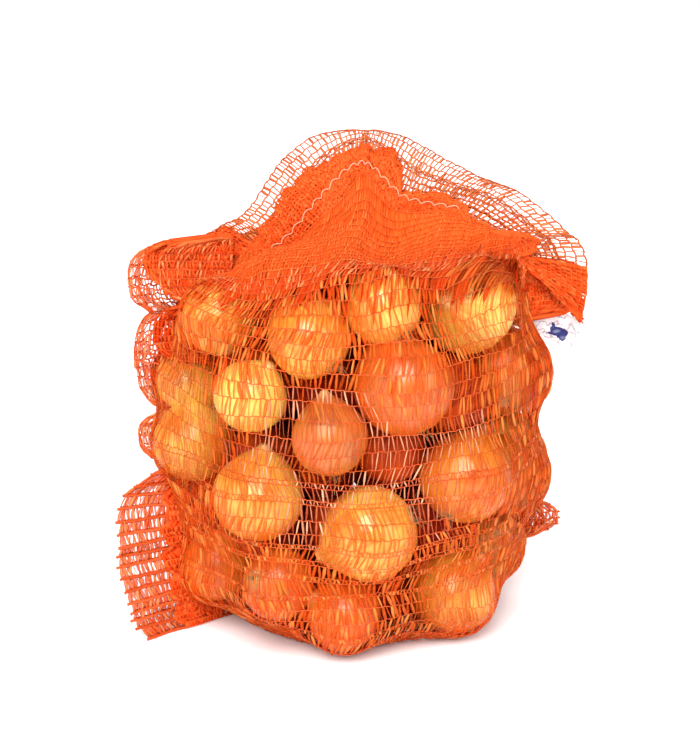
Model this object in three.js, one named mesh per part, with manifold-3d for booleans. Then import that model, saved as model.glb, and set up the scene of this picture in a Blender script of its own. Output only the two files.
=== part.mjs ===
// A net sack of onions that stands on its base: a knitted net bag, pushed out by the onions inside it,
// sewn shut across the mouth, with a frill of net above the seam and loose net along its sides.
// Millimetres, +Z up, the front towards -Y. The origin is on the floor, under the middle of the belly.

import * as THREE from "three";
import Module from "manifold-3d";

const radians = THREE.MathUtils.degToRad;
const vector = (x, y, z) => new THREE.Vector3(x, y, z);

// Belly: the net as it would hang with no onion pressing on it
const BELLY_HALF_WIDTH = 105;
const BELLY_HALF_DEPTH = 96;
const BELLY_HEIGHT = 108;
const BELLY_LOWER_REACH = 122;
const BELLY_UPPER_REACH = 132;
const BELLY_SQUARENESS = 2.6;
const SHOULDER_HEIGHT = 192;

// Onions: how far they stand out past the belly, and the net that lies on them
const ONION_STAND_OUT = 11;
const NET_ON_ONION = 1;
const FLOOR_NET = 1;

// The onions that show at the front: distance right of the centre line, height of the middle, diameter
const FRONT_ONIONS = [
  { right: -77, up: 37, size: 45 },
  { right: -41, up: 43, size: 42 },
  { right: -4, up: 25, size: 45 },
  { right: 58, up: 26, size: 50 },
  { right: -91, up: 108, size: 47 },
  { right: -52, up: 94, size: 53 },
  { right: 10, up: 77, size: 56 },
  { right: 63, up: 102, size: 54 },
  { right: 95, up: 83, size: 50 },
  { right: -98, up: 142, size: 44 },
  { right: -55, up: 153, size: 42 },
  { right: -12, up: 135, size: 43 },
  { right: 28, up: 160, size: 56 },
  { right: 88, up: 146, size: 55 },
  { right: -73, up: 188, size: 44 },
  { right: -23, up: 187, size: 47 },
  { right: 17, up: 203, size: 44 },
  { right: 64, up: 194, size: 57 },
];

// The onions behind, in tiers: height of the middle, how many, and the turn between the first and the last
const BACK_TIERS = [
  { up: 34, count: 6, from: 190, to: 350 },
  { up: 90, count: 6, from: 196, to: 346 },
  { up: 144, count: 6, from: 202, to: 340 },
  { up: 192, count: 5, from: 194, to: 344 },
];
const BACK_ONION = 50;
const BACK_ONION_SPREAD = 5;
const BACK_ONION_BEAT = 2.4;
const BACK_TIER_BEAT = 1.7;

// Mouth seam: the ridge where the front and back of the net are sewn together, from left to right
const SEAM = [
  [-64, -10, 222],
  [-37, -10, 222],
  [-11, -1, 247],
  [6, 10, 261],
  [25, 6, 242],
  [55, 0, 240],
  [87, 2, 226],
  [101, 8, 208],
];
const SEAM_HALF_THICKNESS = 0.5;
const SHOULDER_PULL = 0.4;
const SEAM_SPREAD = 0.35;
const SEAM_DROP = 0.3;

// Frill above the seam: along the seam its width, and how it fans out to the right and leans back, in degrees
const FRILL_WIDTH = [27, 33, 36, 36, 42, 36, 37, 46];
const FRILL_FAN = [-84, -56, -50, 4, 28, 55, 90, 138];
const FRILL_LEAN = [40, 40, 35, 62, 45, 60, 58, 12];
const FRILL_HALF_THICKNESS = 1.2;
const FRILL_WAVE = 5;
const FRILL_WAVES = 4.5;
const FRILL_ROOT = 5;

// Loose net along the sides, sewn flat: where it leaves the belly, the turn it points to at the floor and
// higher up, in degrees, and its lobes: the height of each, half its height and its width
const LEFT_SELVEDGE = {
  root: vector(-66, -12, 0),
  heading: [37, 0],
  lobes: [
    { up: 42, half: 56, width: 75 },
    { up: 110, half: 17, width: 56 },
    { up: 155, half: 35, width: 58 },
    { up: 201, half: 24, width: 60 },
  ],
};
const RIGHT_SELVEDGE = {
  root: vector(80, 20, 0),
  heading: [200, 200],
  lobes: [{ up: 42, half: 13, width: 47 }],
};

// The gathered net folded out to the right below the end of the frill
const MOUTH_FOLD = {
  root: vector(84, 6, 0),
  heading: [200, 200],
  lobes: [{ up: 191, half: 18, width: 52 }],
};

// Form of all the loose net
const LOBE_SQUARENESS = 3;
const SELVEDGE_STRAIGHT_ABOVE = 150;
const SELVEDGE_HALF_THICKNESS = 1.2;
const SELVEDGE_WAVE = 3;
const SELVEDGE_WAVE_LENGTH = 34;

// White thread of the seam, on the front of the frill
const STITCH_RADIUS = 0.7;
const STITCH_ABOVE_SEAM = 0.22;
const STITCH_GAP = 0.4;
const STITCH_START = 0.13;
const STITCH_END = 0.71;
const STITCH_STEPS = 40;
const STITCH_SIDES = 6;

// Label: a strip of film sewn in behind the frill at the right end of the seam
const LABEL_LENGTH = 38;
const LABEL_WIDTH = 18;
const LABEL_THICKNESS = 0.8;
const LABEL_CURL = 4;
const LABEL_GAP = 0.4;
const LABEL_PLACE = vector(113, 18, 170);
const LABEL_TILT = 24;

// Facets
const COLUMNS = 84;
const BASE_ROWS = 4;
const SIDE_ROWS = 22;
const SIDE_ROW_CROWDING = 0.55;
const TOP_ROWS = 14;
const FRILL_STEPS = 60;
const LABEL_STEPS = 10;
const SELVEDGE_STEP = 4;
const SHEET_STRIPS = 5;
const PULL_STEPS = 8;
const PULL_AROUND = 0.42;
const PULL_UPWARD = 0.08;
const SMALLEST_DETAIL = 0.05;

const COLOURS = { net: 0xf2601f, thread: 0xf2ded0, film: 0xf3f1ee };

// The share of the belly's full size that is left at a height.
function bellyShare(height) {
  const reach = height < BELLY_HEIGHT ? BELLY_LOWER_REACH : BELLY_UPPER_REACH;
  const off = Math.abs(height - BELLY_HEIGHT) / reach;
  return Math.pow(1 - Math.pow(off, BELLY_SQUARENESS), 1 / BELLY_SQUARENESS);
}

// A point round the sack. The turn starts at the left and goes by the front to the right.
function round(turn, share, height, past = 0) {
  return vector(
    -Math.cos(turn) * (BELLY_HALF_WIDTH * share + past),
    -Math.sin(turn) * (BELLY_HALF_DEPTH * share + past),
    height,
  );
}

// Every onion that presses on the net: its middle and radius.
function placeOnions() {
  const onions = FRONT_ONIONS.map(({ right, up, size }) => {
    const inner = ONION_STAND_OUT - size / 2;
    const reach = BELLY_HALF_WIDTH * bellyShare(up) + inner;
    const turn = Math.acos(THREE.MathUtils.clamp(-right / reach, -1, 1));
    return { middle: round(turn, bellyShare(up), up, inner), radius: size / 2 };
  });
  BACK_TIERS.forEach(({ up, count, from, to }, tier) => {
    for (let k = 0; k < count; k++) {
      const size = BACK_ONION + BACK_ONION_SPREAD * Math.sin(BACK_ONION_BEAT * k + BACK_TIER_BEAT * tier);
      const turn = radians(from + ((to - from) * k) / (count - 1));
      const middle = round(turn, bellyShare(up), up, ONION_STAND_OUT - size / 2);
      onions.push({ middle, radius: size / 2 });
    }
  });
  onions.forEach(({ middle, radius }) => {
    middle.z = Math.max(middle.z, radius + FLOOR_NET);
  });
  return onions;
}

const seamCurve = new THREE.CatmullRomCurve3(SEAM.map((p) => vector(...p)), false, "catmullrom", 0.5);

// The net with no onion pressing on it, row by row: flat base, belly, then the slope up to the seam.
function slackNet() {
  const rows = [];
  const baseShare = bellyShare(0);
  for (let i = 1; i <= BASE_ROWS; i++) {
    rows.push((turn) => round(turn, (baseShare * i) / BASE_ROWS, 0));
  }
  for (let i = 1; i <= SIDE_ROWS; i++) {
    const rise = i / SIDE_ROWS;
    const height = SHOULDER_HEIGHT * rise * (1 - SIDE_ROW_CROWDING * (1 - rise));
    rows.push((turn) => round(turn, bellyShare(height), height));
  }
  for (let i = 1; i <= TOP_ROWS; i++) {
    rows.push((turn) => slopePoint(turn, i / TOP_ROWS));
  }
  return rows.map((row) => {
    const ring = [];
    for (let j = 0; j < COLUMNS; j++) ring.push(row((2 * Math.PI * j) / COLUMNS));
    return ring;
  });
}

// The slope from the shoulder, at 0, to the seam, at 1.
function slopePoint(turn, along) {
  const shoulder = round(turn, bellyShare(SHOULDER_HEIGHT), SHOULDER_HEIGHT);
  const below = round(turn, bellyShare(SHOULDER_HEIGHT - 1), SHOULDER_HEIGHT - 1);
  const seam = seamCurve.getPoint((1 - Math.cos(turn)) / 2);
  seam.y -= SEAM_HALF_THICKNESS * Math.sin(turn);
  const run = shoulder.distanceTo(seam);
  const upward = shoulder.clone().sub(below).normalize();
  const start = shoulder.clone().addScaledVector(upward, SHOULDER_PULL * run);
  const end = seam.clone().add(vector(0, -SEAM_SPREAD * run * Math.sin(turn), -SEAM_DROP * run));
  return new THREE.CubicBezierCurve3(shoulder, start, end, seam).getPoint(along);
}

// How far out along a line from the slack net the outermost onion reaches, or 0.
function onionPush(from, way, onions) {
  let push = 0;
  for (const { middle, radius } of onions) {
    const to = middle.clone().sub(from);
    const nearest = to.dot(way);
    const room = (radius + NET_ON_ONION) ** 2 - (to.lengthSq() - nearest * nearest);
    if (room > 0) push = Math.max(push, nearest + Math.sqrt(room));
  }
  return push;
}

// The net pulled tight over the onions: rows of points.
function tightNet(onions) {
  const slack = slackNet();
  const last = slack.length - 1;
  const at = (grid, i, j) => grid[i][(j + COLUMNS) % COLUMNS];
  const outward = slack.map((ring, i) =>
    ring.map((point, j) => {
      if (i < BASE_ROWS) return vector(0, 0, -1);
      const around = at(slack, i, j + 1).clone().sub(at(slack, i, j - 1));
      const upward = at(slack, Math.min(i + 1, last), j).clone().sub(at(slack, i - 1, j));
      return around.cross(upward).normalize();
    }),
  );
  const pushed = slack.map((ring, i) =>
    ring.map((point, j) => {
      const held = i < BASE_ROWS - 1 || i === last;
      return held ? 0 : onionPush(point, outward[i][j], onions);
    }),
  );
  let out = pushed;
  for (let step = 0; step < PULL_STEPS; step++) {
    out = out.map((ring, i) =>
      ring.map((own, j) => {
        if (i < BASE_ROWS || i === last) return own;
        const sides = at(out, i, j - 1) + at(out, i, j + 1);
        const ends = at(out, i - 1, j) + at(out, i + 1, j);
        return Math.max(pushed[i][j], PULL_AROUND * sides + PULL_UPWARD * ends);
      }),
    );
  }
  return slack.map((ring, i) =>
    ring.map((point, j) => {
      const place = point.clone().addScaledVector(outward[i][j], out[i][j]);
      place.z = Math.max(place.z, 0);
      return place;
    }),
  );
}

// A closed mesh from points and faces of three or four corners.
function closedMesh(points, faces) {
  const index = faces.flatMap(([a, b, c, d]) => (d === undefined ? [a, b, c] : [a, b, c, a, c, d]));
  const geometry = new THREE.BufferGeometry().setFromPoints(points);
  return geometry.setIndex(index);
}

// The filled net as one closed skin: the base is a fan, and the seam joins the front to the back.
function bellyGeometry(onions) {
  const rows = tightNet(onions);
  const points = [vector(0, 0, 0), ...rows.flat()];
  const at = (i, j) => 1 + i * COLUMNS + ((j + COLUMNS) % COLUMNS);
  const top = rows.length - 1;
  const faces = [];
  for (let j = 0; j < COLUMNS; j++) {
    faces.push([0, at(0, j + 1), at(0, j)]);
    for (let i = 0; i < top; i++) faces.push([at(i, j), at(i, j + 1), at(i + 1, j + 1), at(i + 1, j)]);
  }
  faces.push([at(top, 0), at(top, 1), at(top, -1)]);
  for (let j = 1; j < COLUMNS / 2 - 1; j++) {
    faces.push([at(top, j), at(top, j + 1), at(top, -j - 1), at(top, -j)]);
  }
  const right = COLUMNS / 2;
  faces.push([at(top, right - 1), at(top, right), at(top, right + 1)]);
  return closedMesh(points, faces);
}

// A thin wavy sheet as a closed solid. middle gives its mid surface and thick the offset to each face.
function sheetGeometry(steps, strips, middle, thick) {
  const points = [];
  for (const side of [-1, 1]) {
    for (let i = 0; i <= steps; i++) {
      for (let k = 0; k <= strips; k++) {
        points.push(middle(i / steps, k / strips).addScaledVector(thick(i / steps), side));
      }
    }
  }
  const face = (steps + 1) * (strips + 1);
  const at = (i, k, side) => side * face + i * (strips + 1) + k;
  const faces = [];
  for (let i = 0; i < steps; i++) {
    for (let k = 0; k < strips; k++) {
      faces.push([at(i, k, 0), at(i + 1, k, 0), at(i + 1, k + 1, 0), at(i, k + 1, 0)]);
      faces.push([at(i, k, 1), at(i, k + 1, 1), at(i + 1, k + 1, 1), at(i + 1, k, 1)]);
    }
    faces.push([at(i, 0, 0), at(i, 0, 1), at(i + 1, 0, 1), at(i + 1, 0, 0)]);
    faces.push([at(i, strips, 0), at(i + 1, strips, 0), at(i + 1, strips, 1), at(i, strips, 1)]);
  }
  for (let k = 0; k < strips; k++) {
    faces.push([at(0, k, 0), at(0, k + 1, 0), at(0, k + 1, 1), at(0, k, 1)]);
    faces.push([at(steps, k, 0), at(steps, k, 1), at(steps, k + 1, 1), at(steps, k + 1, 0)]);
  }
  return closedMesh(points, faces);
}

// A value read between evenly spaced ones, eased from each to the next.
function eased(values, share) {
  const place = share * (values.length - 1);
  const i = Math.min(Math.floor(place), values.length - 2);
  return THREE.MathUtils.lerp(values[i], values[i + 1], THREE.MathUtils.smoothstep(place - i, 0, 1));
}

// The middle of the frill: along the seam from left to right, and out from the seam, at 0, to the hem, at 1.
function frillPoint(along, out) {
  const fan = radians(eased(FRILL_FAN, along));
  const lean = radians(eased(FRILL_LEAN, along)) * out;
  const wave = FRILL_WAVE * out * Math.sin(2 * Math.PI * FRILL_WAVES * along);
  const reach = eased(FRILL_WIDTH, along) * out;
  const rise = reach * Math.cos(fan);
  const root = FRILL_ROOT * (1 - out) * (1 - out);
  const step = vector(
    reach * Math.sin(fan),
    rise * Math.sin(lean) + wave,
    rise * Math.cos(lean) - root,
  );
  return seamCurve.getPoint(along).add(step);
}

function frillGeometry() {
  return sheetGeometry(FRILL_STEPS, SHEET_STRIPS, frillPoint, () => vector(0, FRILL_HALF_THICKNESS, 0));
}

// How far a lobe of loose net reaches at a height, or 0 above and below it.
function lobeReach({ up, half, width }, height) {
  const off = Math.min(Math.abs(height - up) / half, 1);
  return width * Math.pow(1 - Math.pow(off, LOBE_SQUARENESS), 1 / LOBE_SQUARENESS);
}

// The loose net along one side: a thin wavy sheet whose outer edge runs in lobes.
function selvedgeGeometry({ root, heading, lobes }) {
  const ends = lobes.flatMap(({ up, half }) => [up - half, up + half]);
  const low = Math.max(Math.min(...ends) + 0.1, SELVEDGE_HALF_THICKNESS);
  const high = Math.max(...ends) - 0.1;
  const heightAt = (along) => THREE.MathUtils.lerp(low, high, along);
  const wayAt = (along) => {
    const straight = THREE.MathUtils.smoothstep(heightAt(along), 0, SELVEDGE_STRAIGHT_ABOVE);
    const turn = radians(THREE.MathUtils.lerp(...heading, straight));
    return vector(-Math.cos(turn), -Math.sin(turn), 0);
  };
  const acrossAt = (along) => vector(wayAt(along).y, -wayAt(along).x, 0);
  const middle = (along, out) => {
    const height = heightAt(along);
    const reach = Math.max(...lobes.map((lobe) => lobeReach(lobe, height)));
    const wave = SELVEDGE_WAVE * out * Math.sin((2 * Math.PI * height) / SELVEDGE_WAVE_LENGTH);
    return vector(root.x, root.y, height)
      .addScaledVector(wayAt(along), reach * out)
      .addScaledVector(acrossAt(along), wave);
  };
  const steps = Math.ceil((high - low) / SELVEDGE_STEP);
  const thick = (along) => acrossAt(along).multiplyScalar(SELVEDGE_HALF_THICKNESS);
  return sheetGeometry(steps, SHEET_STRIPS, middle, thick);
}

function stitchGeometry() {
  const points = [];
  for (let i = 0; i <= STITCH_STEPS; i++) {
    const along = THREE.MathUtils.lerp(STITCH_START, STITCH_END, i / STITCH_STEPS);
    const place = frillPoint(along, STITCH_ABOVE_SEAM);
    place.y -= FRILL_HALF_THICKNESS + STITCH_GAP + STITCH_RADIUS;
    points.push(place);
  }
  const section = new THREE.Shape().absarc(0, 0, STITCH_RADIUS, 0, 2 * Math.PI);
  return new THREE.ExtrudeGeometry(section, {
    steps: STITCH_STEPS,
    curveSegments: STITCH_SIDES,
    extrudePath: new THREE.CatmullRomCurve3(points),
  });
}

// The label, or with a gap all round the slit in the net that it is sewn into.
function labelGeometry(gap = 0) {
  const middle = (along, out) =>
    vector(
      (LABEL_LENGTH + 2 * gap) * (along - 0.5),
      LABEL_CURL * Math.sin(Math.PI * along) - LABEL_CURL,
      (LABEL_WIDTH + 2 * gap) * (out - 0.5),
    );
  return sheetGeometry(LABEL_STEPS, SHEET_STRIPS, middle, () => vector(0, LABEL_THICKNESS / 2 + gap, 0))
    .rotateY(radians(LABEL_TILT))
    .translate(...LABEL_PLACE.toArray());
}

const wasm = await Module();
wasm.setup();

function solidOf(geometry) {
  const triVerts = new Uint32Array(geometry.index.array);
  const vertProperties = new Float32Array(geometry.attributes.position.array);
  return new wasm.Manifold(new wasm.Mesh({ numProp: 3, vertProperties, triVerts }));
}

function geometryOf(solid) {
  const { vertProperties, triVerts } = solid.getMesh();
  const geometry = new THREE.BufferGeometry();
  geometry.setAttribute("position", new THREE.BufferAttribute(vertProperties, 3));
  geometry.setIndex(new THREE.BufferAttribute(triVerts, 1));
  geometry.computeVertexNormals();
  return geometry;
}

// The filled net with its frill and its loose sides, all one piece of net.
function sackGeometry() {
  const loose = [LEFT_SELVEDGE, RIGHT_SELVEDGE, MOUTH_FOLD].map(selvedgeGeometry);
  const pieces = [frillGeometry(), ...loose];
  const belly = solidOf(bellyGeometry(placeOnions()));
  const net = pieces.reduce((whole, piece) => whole.add(solidOf(piece)), belly);
  return geometryOf(net.subtract(solidOf(labelGeometry(LABEL_GAP))).simplify(SMALLEST_DETAIL));
}

function namedMesh(name, geometry, color, roughness) {
  const mesh = new THREE.Mesh(geometry, new THREE.MeshStandardMaterial({ color, roughness, metalness: 0 }));
  mesh.name = name;
  return mesh;
}

const sackOfOnions = new THREE.Group();
sackOfOnions.add(namedMesh("sack", sackGeometry(), COLOURS.net, 0.5));
sackOfOnions.add(namedMesh("closing_stitch", stitchGeometry(), COLOURS.thread, 0.7));
sackOfOnions.add(namedMesh("label", labelGeometry(), COLOURS.film, 0.35));

export default sackOfOnions;
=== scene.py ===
"""A net sack of onions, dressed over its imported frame.

The sack's solid gives way to the onions and to the net that lies over them, knitted thread by thread.
Sizes are in millimetres and turn into metres when a mesh is made. +Z is up and the front faces -Y.
"""

import logging
import math
from dataclasses import dataclass, field
from enum import Enum
from typing import Any

import bpy
import numpy as np
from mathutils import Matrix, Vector


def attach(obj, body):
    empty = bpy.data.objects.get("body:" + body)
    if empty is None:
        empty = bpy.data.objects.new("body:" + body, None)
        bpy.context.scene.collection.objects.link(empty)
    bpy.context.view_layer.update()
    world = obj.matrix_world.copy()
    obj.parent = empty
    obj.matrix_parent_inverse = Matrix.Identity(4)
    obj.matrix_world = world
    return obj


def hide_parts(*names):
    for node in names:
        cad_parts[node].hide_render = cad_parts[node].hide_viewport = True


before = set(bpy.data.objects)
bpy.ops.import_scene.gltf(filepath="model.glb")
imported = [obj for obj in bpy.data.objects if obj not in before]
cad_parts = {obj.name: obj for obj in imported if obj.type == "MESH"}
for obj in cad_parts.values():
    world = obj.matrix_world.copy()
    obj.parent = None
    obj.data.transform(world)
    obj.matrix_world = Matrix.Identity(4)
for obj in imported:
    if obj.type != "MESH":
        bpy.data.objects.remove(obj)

Array = np.ndarray
Colour = tuple[float, float, float]
Waves = tuple[tuple[float, float, float, float], ...]

MM = 0.001
FULL_TURN = 2.0 * math.pi
SEED = 11
BODY = "root"
FLOOR_CLEARANCE = 0.15

LOG = logging.getLogger("sack_of_onions")


def linear(red: int, green: int, blue: int) -> Colour:
    """Turn a colour as a screen shows it, 0 to 255, into scene values.

    Args:
        red: The red part.
        green: The green part.
        blue: The blue part.

    Returns:
        The same colour in linear light.
    """
    parts = [value / 255.0 for value in (red, green, blue)]
    curved = [p / 12.92 if p <= 0.04045 else ((p + 0.055) / 1.055) ** 2.4 for p in parts]
    return curved[0], curved[1], curved[2]


def unit(vectors: Array) -> Array:
    """Scale vectors to length 1 along the last axis."""
    return vectors / np.maximum(np.linalg.norm(vectors, axis=-1, keepdims=True), 1e-9)


def smooth_step(share: Array) -> Array:
    """Ease a share from 0 to 1, and hold it there outside."""
    held = np.clip(share, 0.0, 1.0)
    return held * held * (3.0 - 2.0 * held)


def eased(values: tuple[float, ...], share: Array) -> Array:
    """Read between evenly spaced values, easing from each to the next.

    Args:
        values: The values, from share 0 to share 1.
        share: Where to read.

    Returns:
        One value for each share.
    """
    table = np.asarray(values, float)
    place = np.clip(share, 0.0, 1.0) * (len(table) - 1)
    i = np.minimum(place.astype(int), len(table) - 2)
    return table[i] + (table[i + 1] - table[i]) * smooth_step(place - i)


def ripple(place: Array, waves: Waves, drift_by: Array | float = 0.0) -> Array:
    """Add up sine waves.

    Args:
        place: Where to read.
        waves: Each wave's size, its beat, how it drifts, and its shift.
        drift_by: What the waves drift with.

    Returns:
        One value for each place.
    """
    return sum(size * np.sin(beat * place + drift * drift_by + shift) for size, beat, drift, shift in waves)


class Slot(Enum):
    """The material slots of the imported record."""

    NET = "net"
    THREAD = "thread"
    LABEL = "label_film"


class MeshParts:
    """Vertices, faces and values of many small forms, gathered into one mesh."""

    def __init__(self) -> None:
        """Start with nothing gathered."""
        self.points: list[Array] = []
        self.tones: list[Array] = []
        self.maps: list[Array] = []
        self.faces: list[Array] = []
        self.count = 0

    def add(self, points: Array, faces: list[Array], tone: Array, maps: Array | None = None) -> None:
        """Take in one form.

        Args:
            points: Its vertices, in millimetres.
            faces: Arrays of corner numbers, one array for each number of corners.
            tone: A value from 0 to 1 for each vertex, which the finish reads.
            maps: A surface position for each vertex, or none.
        """
        self.points.append(points)
        self.tones.append(tone)
        self.maps.append(np.zeros((len(points), 2)) if maps is None else maps)
        self.faces.extend(corners + self.count for corners in faces)
        self.count += len(points)

    def add_strands(
        self,
        points: Array,
        normals: Array,
        widths: Array,
        thicks: Array,
        twist: Array,
        tone: Array,
        closed: bool = False,
    ) -> None:
        """Take in strands with a lens-shaped section.

        Args:
            points: Their centre lines, strand by strand.
            normals: The way out of the net at each point.
            widths: Half the width at each point.
            thicks: Half the thickness at each point.
            twist: The turn of each strand about its own line.
            tone: A value from 0 to 1 for each strand.
            closed: Whether each strand joins its own end.
        """
        count, stations = points.shape[:2]
        if closed:
            along = np.roll(points, -1, axis=1) - np.roll(points, 1, axis=1)
        else:
            along = np.gradient(points, axis=1)
        along = unit(along)
        flat_side = unit(np.cross(normals, along))
        flat_face = np.cross(along, flat_side)
        cos = np.cos(twist)[:, None, None]
        sin = np.sin(twist)[:, None, None]
        wide = (flat_side * cos + flat_face * sin) * widths[..., None]
        deep = (flat_face * cos - flat_side * sin) * thicks[..., None]
        corners = np.stack([points - wide, points - deep, points + wide, points + deep], axis=2)
        corners[..., 2] = np.maximum(corners[..., 2], FLOOR_CLEARANCE)
        number = np.arange(count * stations * 4).reshape(count, stations, 4)
        here, there = number[:, :-1], number[:, 1:]
        if closed:
            here, there = number, np.roll(number, -1, axis=1)
        quads = np.stack([here, np.roll(here, -1, axis=2), np.roll(there, -1, axis=2), there], axis=-1)
        faces = [quads.reshape(-1, 4)]
        if not closed:
            faces += [number[:, 0, ::-1], number[:, -1]]
        self.add(corners.reshape(-1, 3), faces, np.repeat(tone, stations * 4))

    def make(self, name: str, material: bpy.types.Material) -> bpy.types.Object:
        """Turn what was gathered into a piece that rides on the sack.

        Args:
            name: The piece's name.
            material: Its finish.

        Returns:
            The new object.
        """
        points = np.concatenate(self.points)
        corners = np.concatenate([face.ravel() for face in self.faces]).astype(np.int32)
        sizes = np.concatenate([np.full(len(face), face.shape[1]) for face in self.faces])
        starts = np.concatenate([[0], np.cumsum(sizes)[:-1]]).astype(np.int32)
        mesh = bpy.data.meshes.new(name)
        mesh.vertices.add(len(points))
        mesh.vertices.foreach_set("co", (points * MM).ravel())
        mesh.loops.add(len(corners))
        mesh.loops.foreach_set("vertex_index", corners)
        mesh.polygons.add(len(sizes))
        mesh.polygons.foreach_set("loop_start", starts)
        mesh.update(calc_edges=True)
        mesh.polygons.foreach_set("use_smooth", np.ones(len(sizes), bool))
        tone = mesh.attributes.new("tone", "FLOAT", "POINT")
        tone.data.foreach_set("value", np.concatenate(self.tones).astype(np.float32))
        layer = mesh.uv_layers.new(name="UVMap")
        layer.data.foreach_set("uv", np.concatenate(self.maps)[corners].astype(np.float32).ravel())
        mesh.validate()
        piece = bpy.data.objects.new(name, mesh)
        bpy.context.scene.collection.objects.link(piece)
        mesh.materials.append(material)
        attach(piece, BODY)
        LOG.info("%s: %d triangles", name, int(np.sum(sizes - 2)))
        return piece


class NodeSheet:
    """The nodes of a material or a group, added and joined in one call each."""

    def __init__(self, tree: bpy.types.NodeTree) -> None:
        """Work on an empty node tree."""
        self.tree = tree
        self.tree.nodes.clear()

    def add(self, kind: str, inputs: dict[Any, Any] | None = None, **settings: Any) -> bpy.types.Node:
        """Add a node.

        Args:
            kind: The node's type name.
            inputs: Sockets by name or number, each with a value or another node's output to join.
            settings: The node's own properties.

        Returns:
            The new node.
        """
        node = self.tree.nodes.new(kind)
        for name, value in settings.items():
            setattr(node, name, value)
        for socket, value in (inputs or {}).items():
            if isinstance(value, bpy.types.NodeSocket):
                self.tree.links.new(value, node.inputs[socket])
            else:
                node.inputs[socket].default_value = value
        return node

    def ramp(self, value: bpy.types.NodeSocket, stops: list[tuple[float, Colour]]) -> bpy.types.NodeSocket:
        """Add a colour ramp.

        Args:
            value: What drives it.
            stops: Places from 0 to 1 with their colours.

        Returns:
            Its colour output.
        """
        node = self.add("ShaderNodeValToRGB", {"Fac": value})
        elements = node.color_ramp.elements
        while len(elements) < len(stops):
            elements.new(1.0)
        for element, (place, colour) in zip(elements, stops):
            element.position = place
            element.color = (*colour, 1.0)
        return node.outputs["Color"]

    def place(self) -> bpy.types.NodeSocket:
        """Add the place on the object."""
        return self.add("ShaderNodeTexCoord").outputs["Object"]

    def tone(self) -> bpy.types.NodeSocket:
        """Add the value that each form of the mesh brings along."""
        return self.add("ShaderNodeAttribute", attribute_name="tone").outputs["Fac"]

    def noise(self, place: bpy.types.NodeSocket, scale: Any, detail: float) -> bpy.types.Node:
        """Add a cloud of noise."""
        return self.add("ShaderNodeTexNoise", {"Vector": place, "Scale": scale, "Detail": detail})

    def relief(self, height: bpy.types.NodeSocket, strength: float, depth: float) -> bpy.types.NodeSocket:
        """Add a low relief, and give the normal that it makes."""
        node = self.add("ShaderNodeBump", {"Height": height, "Strength": strength, "Distance": depth})
        return node.outputs[0]

    def surface(self, shader: bpy.types.Node) -> None:
        """Join a shader to the material's output."""
        self.add("ShaderNodeOutputMaterial", {"Surface": shader.outputs[0]})

    def mix(self, share: bpy.types.NodeSocket, first: Any, second: Any) -> bpy.types.NodeSocket:
        """Add a mix of two colours by a share that changes over the surface."""
        return self.add("ShaderNodeMix", {0: share, 6: first, 7: second}, data_type="RGBA").outputs[2]

    def math(self, operation: str, *values: Any) -> bpy.types.NodeSocket:
        """Add a sum, product or other step on values that change over the surface."""
        return self.add("ShaderNodeMath", dict(enumerate(values)), operation=operation).outputs[0]


def new_material(name: str) -> tuple[bpy.types.Material, NodeSheet]:
    """Start a material with an empty node sheet.

    Args:
        name: The material's name.

    Returns:
        The material and its node sheet.
    """
    material = bpy.data.materials.new(name)
    material.use_nodes = True
    return material, NodeSheet(material.node_tree)


class ThreadTone:
    """A node group: the colour of tape or thread, uneven from one length to the next."""

    NAME = "thread_tone"
    UNEVENNESS = 0.5
    DETAIL = 2.0
    SOCKETS = (
        ("Dark", "INPUT", "NodeSocketColor"),
        ("Light", "INPUT", "NodeSocketColor"),
        ("Scale", "INPUT", "NodeSocketFloat"),
        ("Colour", "OUTPUT", "NodeSocketColor"),
        ("Share", "OUTPUT", "NodeSocketFloat"),
        ("Relief", "OUTPUT", "NodeSocketFloat"),
    )

    @classmethod
    def group(cls) -> bpy.types.NodeTree:
        """Return the group, and build it on the first call.

        Returns:
            A group with a dark and a light colour in, and a colour, its share of light and a relief out.
        """
        found = bpy.data.node_groups.get(cls.NAME)
        if found:
            return found
        tree = bpy.data.node_groups.new(cls.NAME, "ShaderNodeTree")
        for name, way, kind in cls.SOCKETS:
            tree.interface.new_socket(name, in_out=way, socket_type=kind)
        sheet = NodeSheet(tree)
        given = sheet.add("NodeGroupInput").outputs
        grain = sheet.noise(sheet.place(), given["Scale"], cls.DETAIL).outputs["Fac"]
        uneven = sheet.math("MULTIPLY_ADD", grain, cls.UNEVENNESS, -cls.UNEVENNESS / 2)
        summed = sheet.add("ShaderNodeMath", {0: sheet.tone(), 1: uneven}, operation="ADD", use_clamp=True)
        share = summed.outputs[0]
        colour = sheet.mix(share, given["Dark"], given["Light"])
        sheet.add("NodeGroupOutput", {"Colour": colour, "Share": share, "Relief": grain})
        return tree


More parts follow.
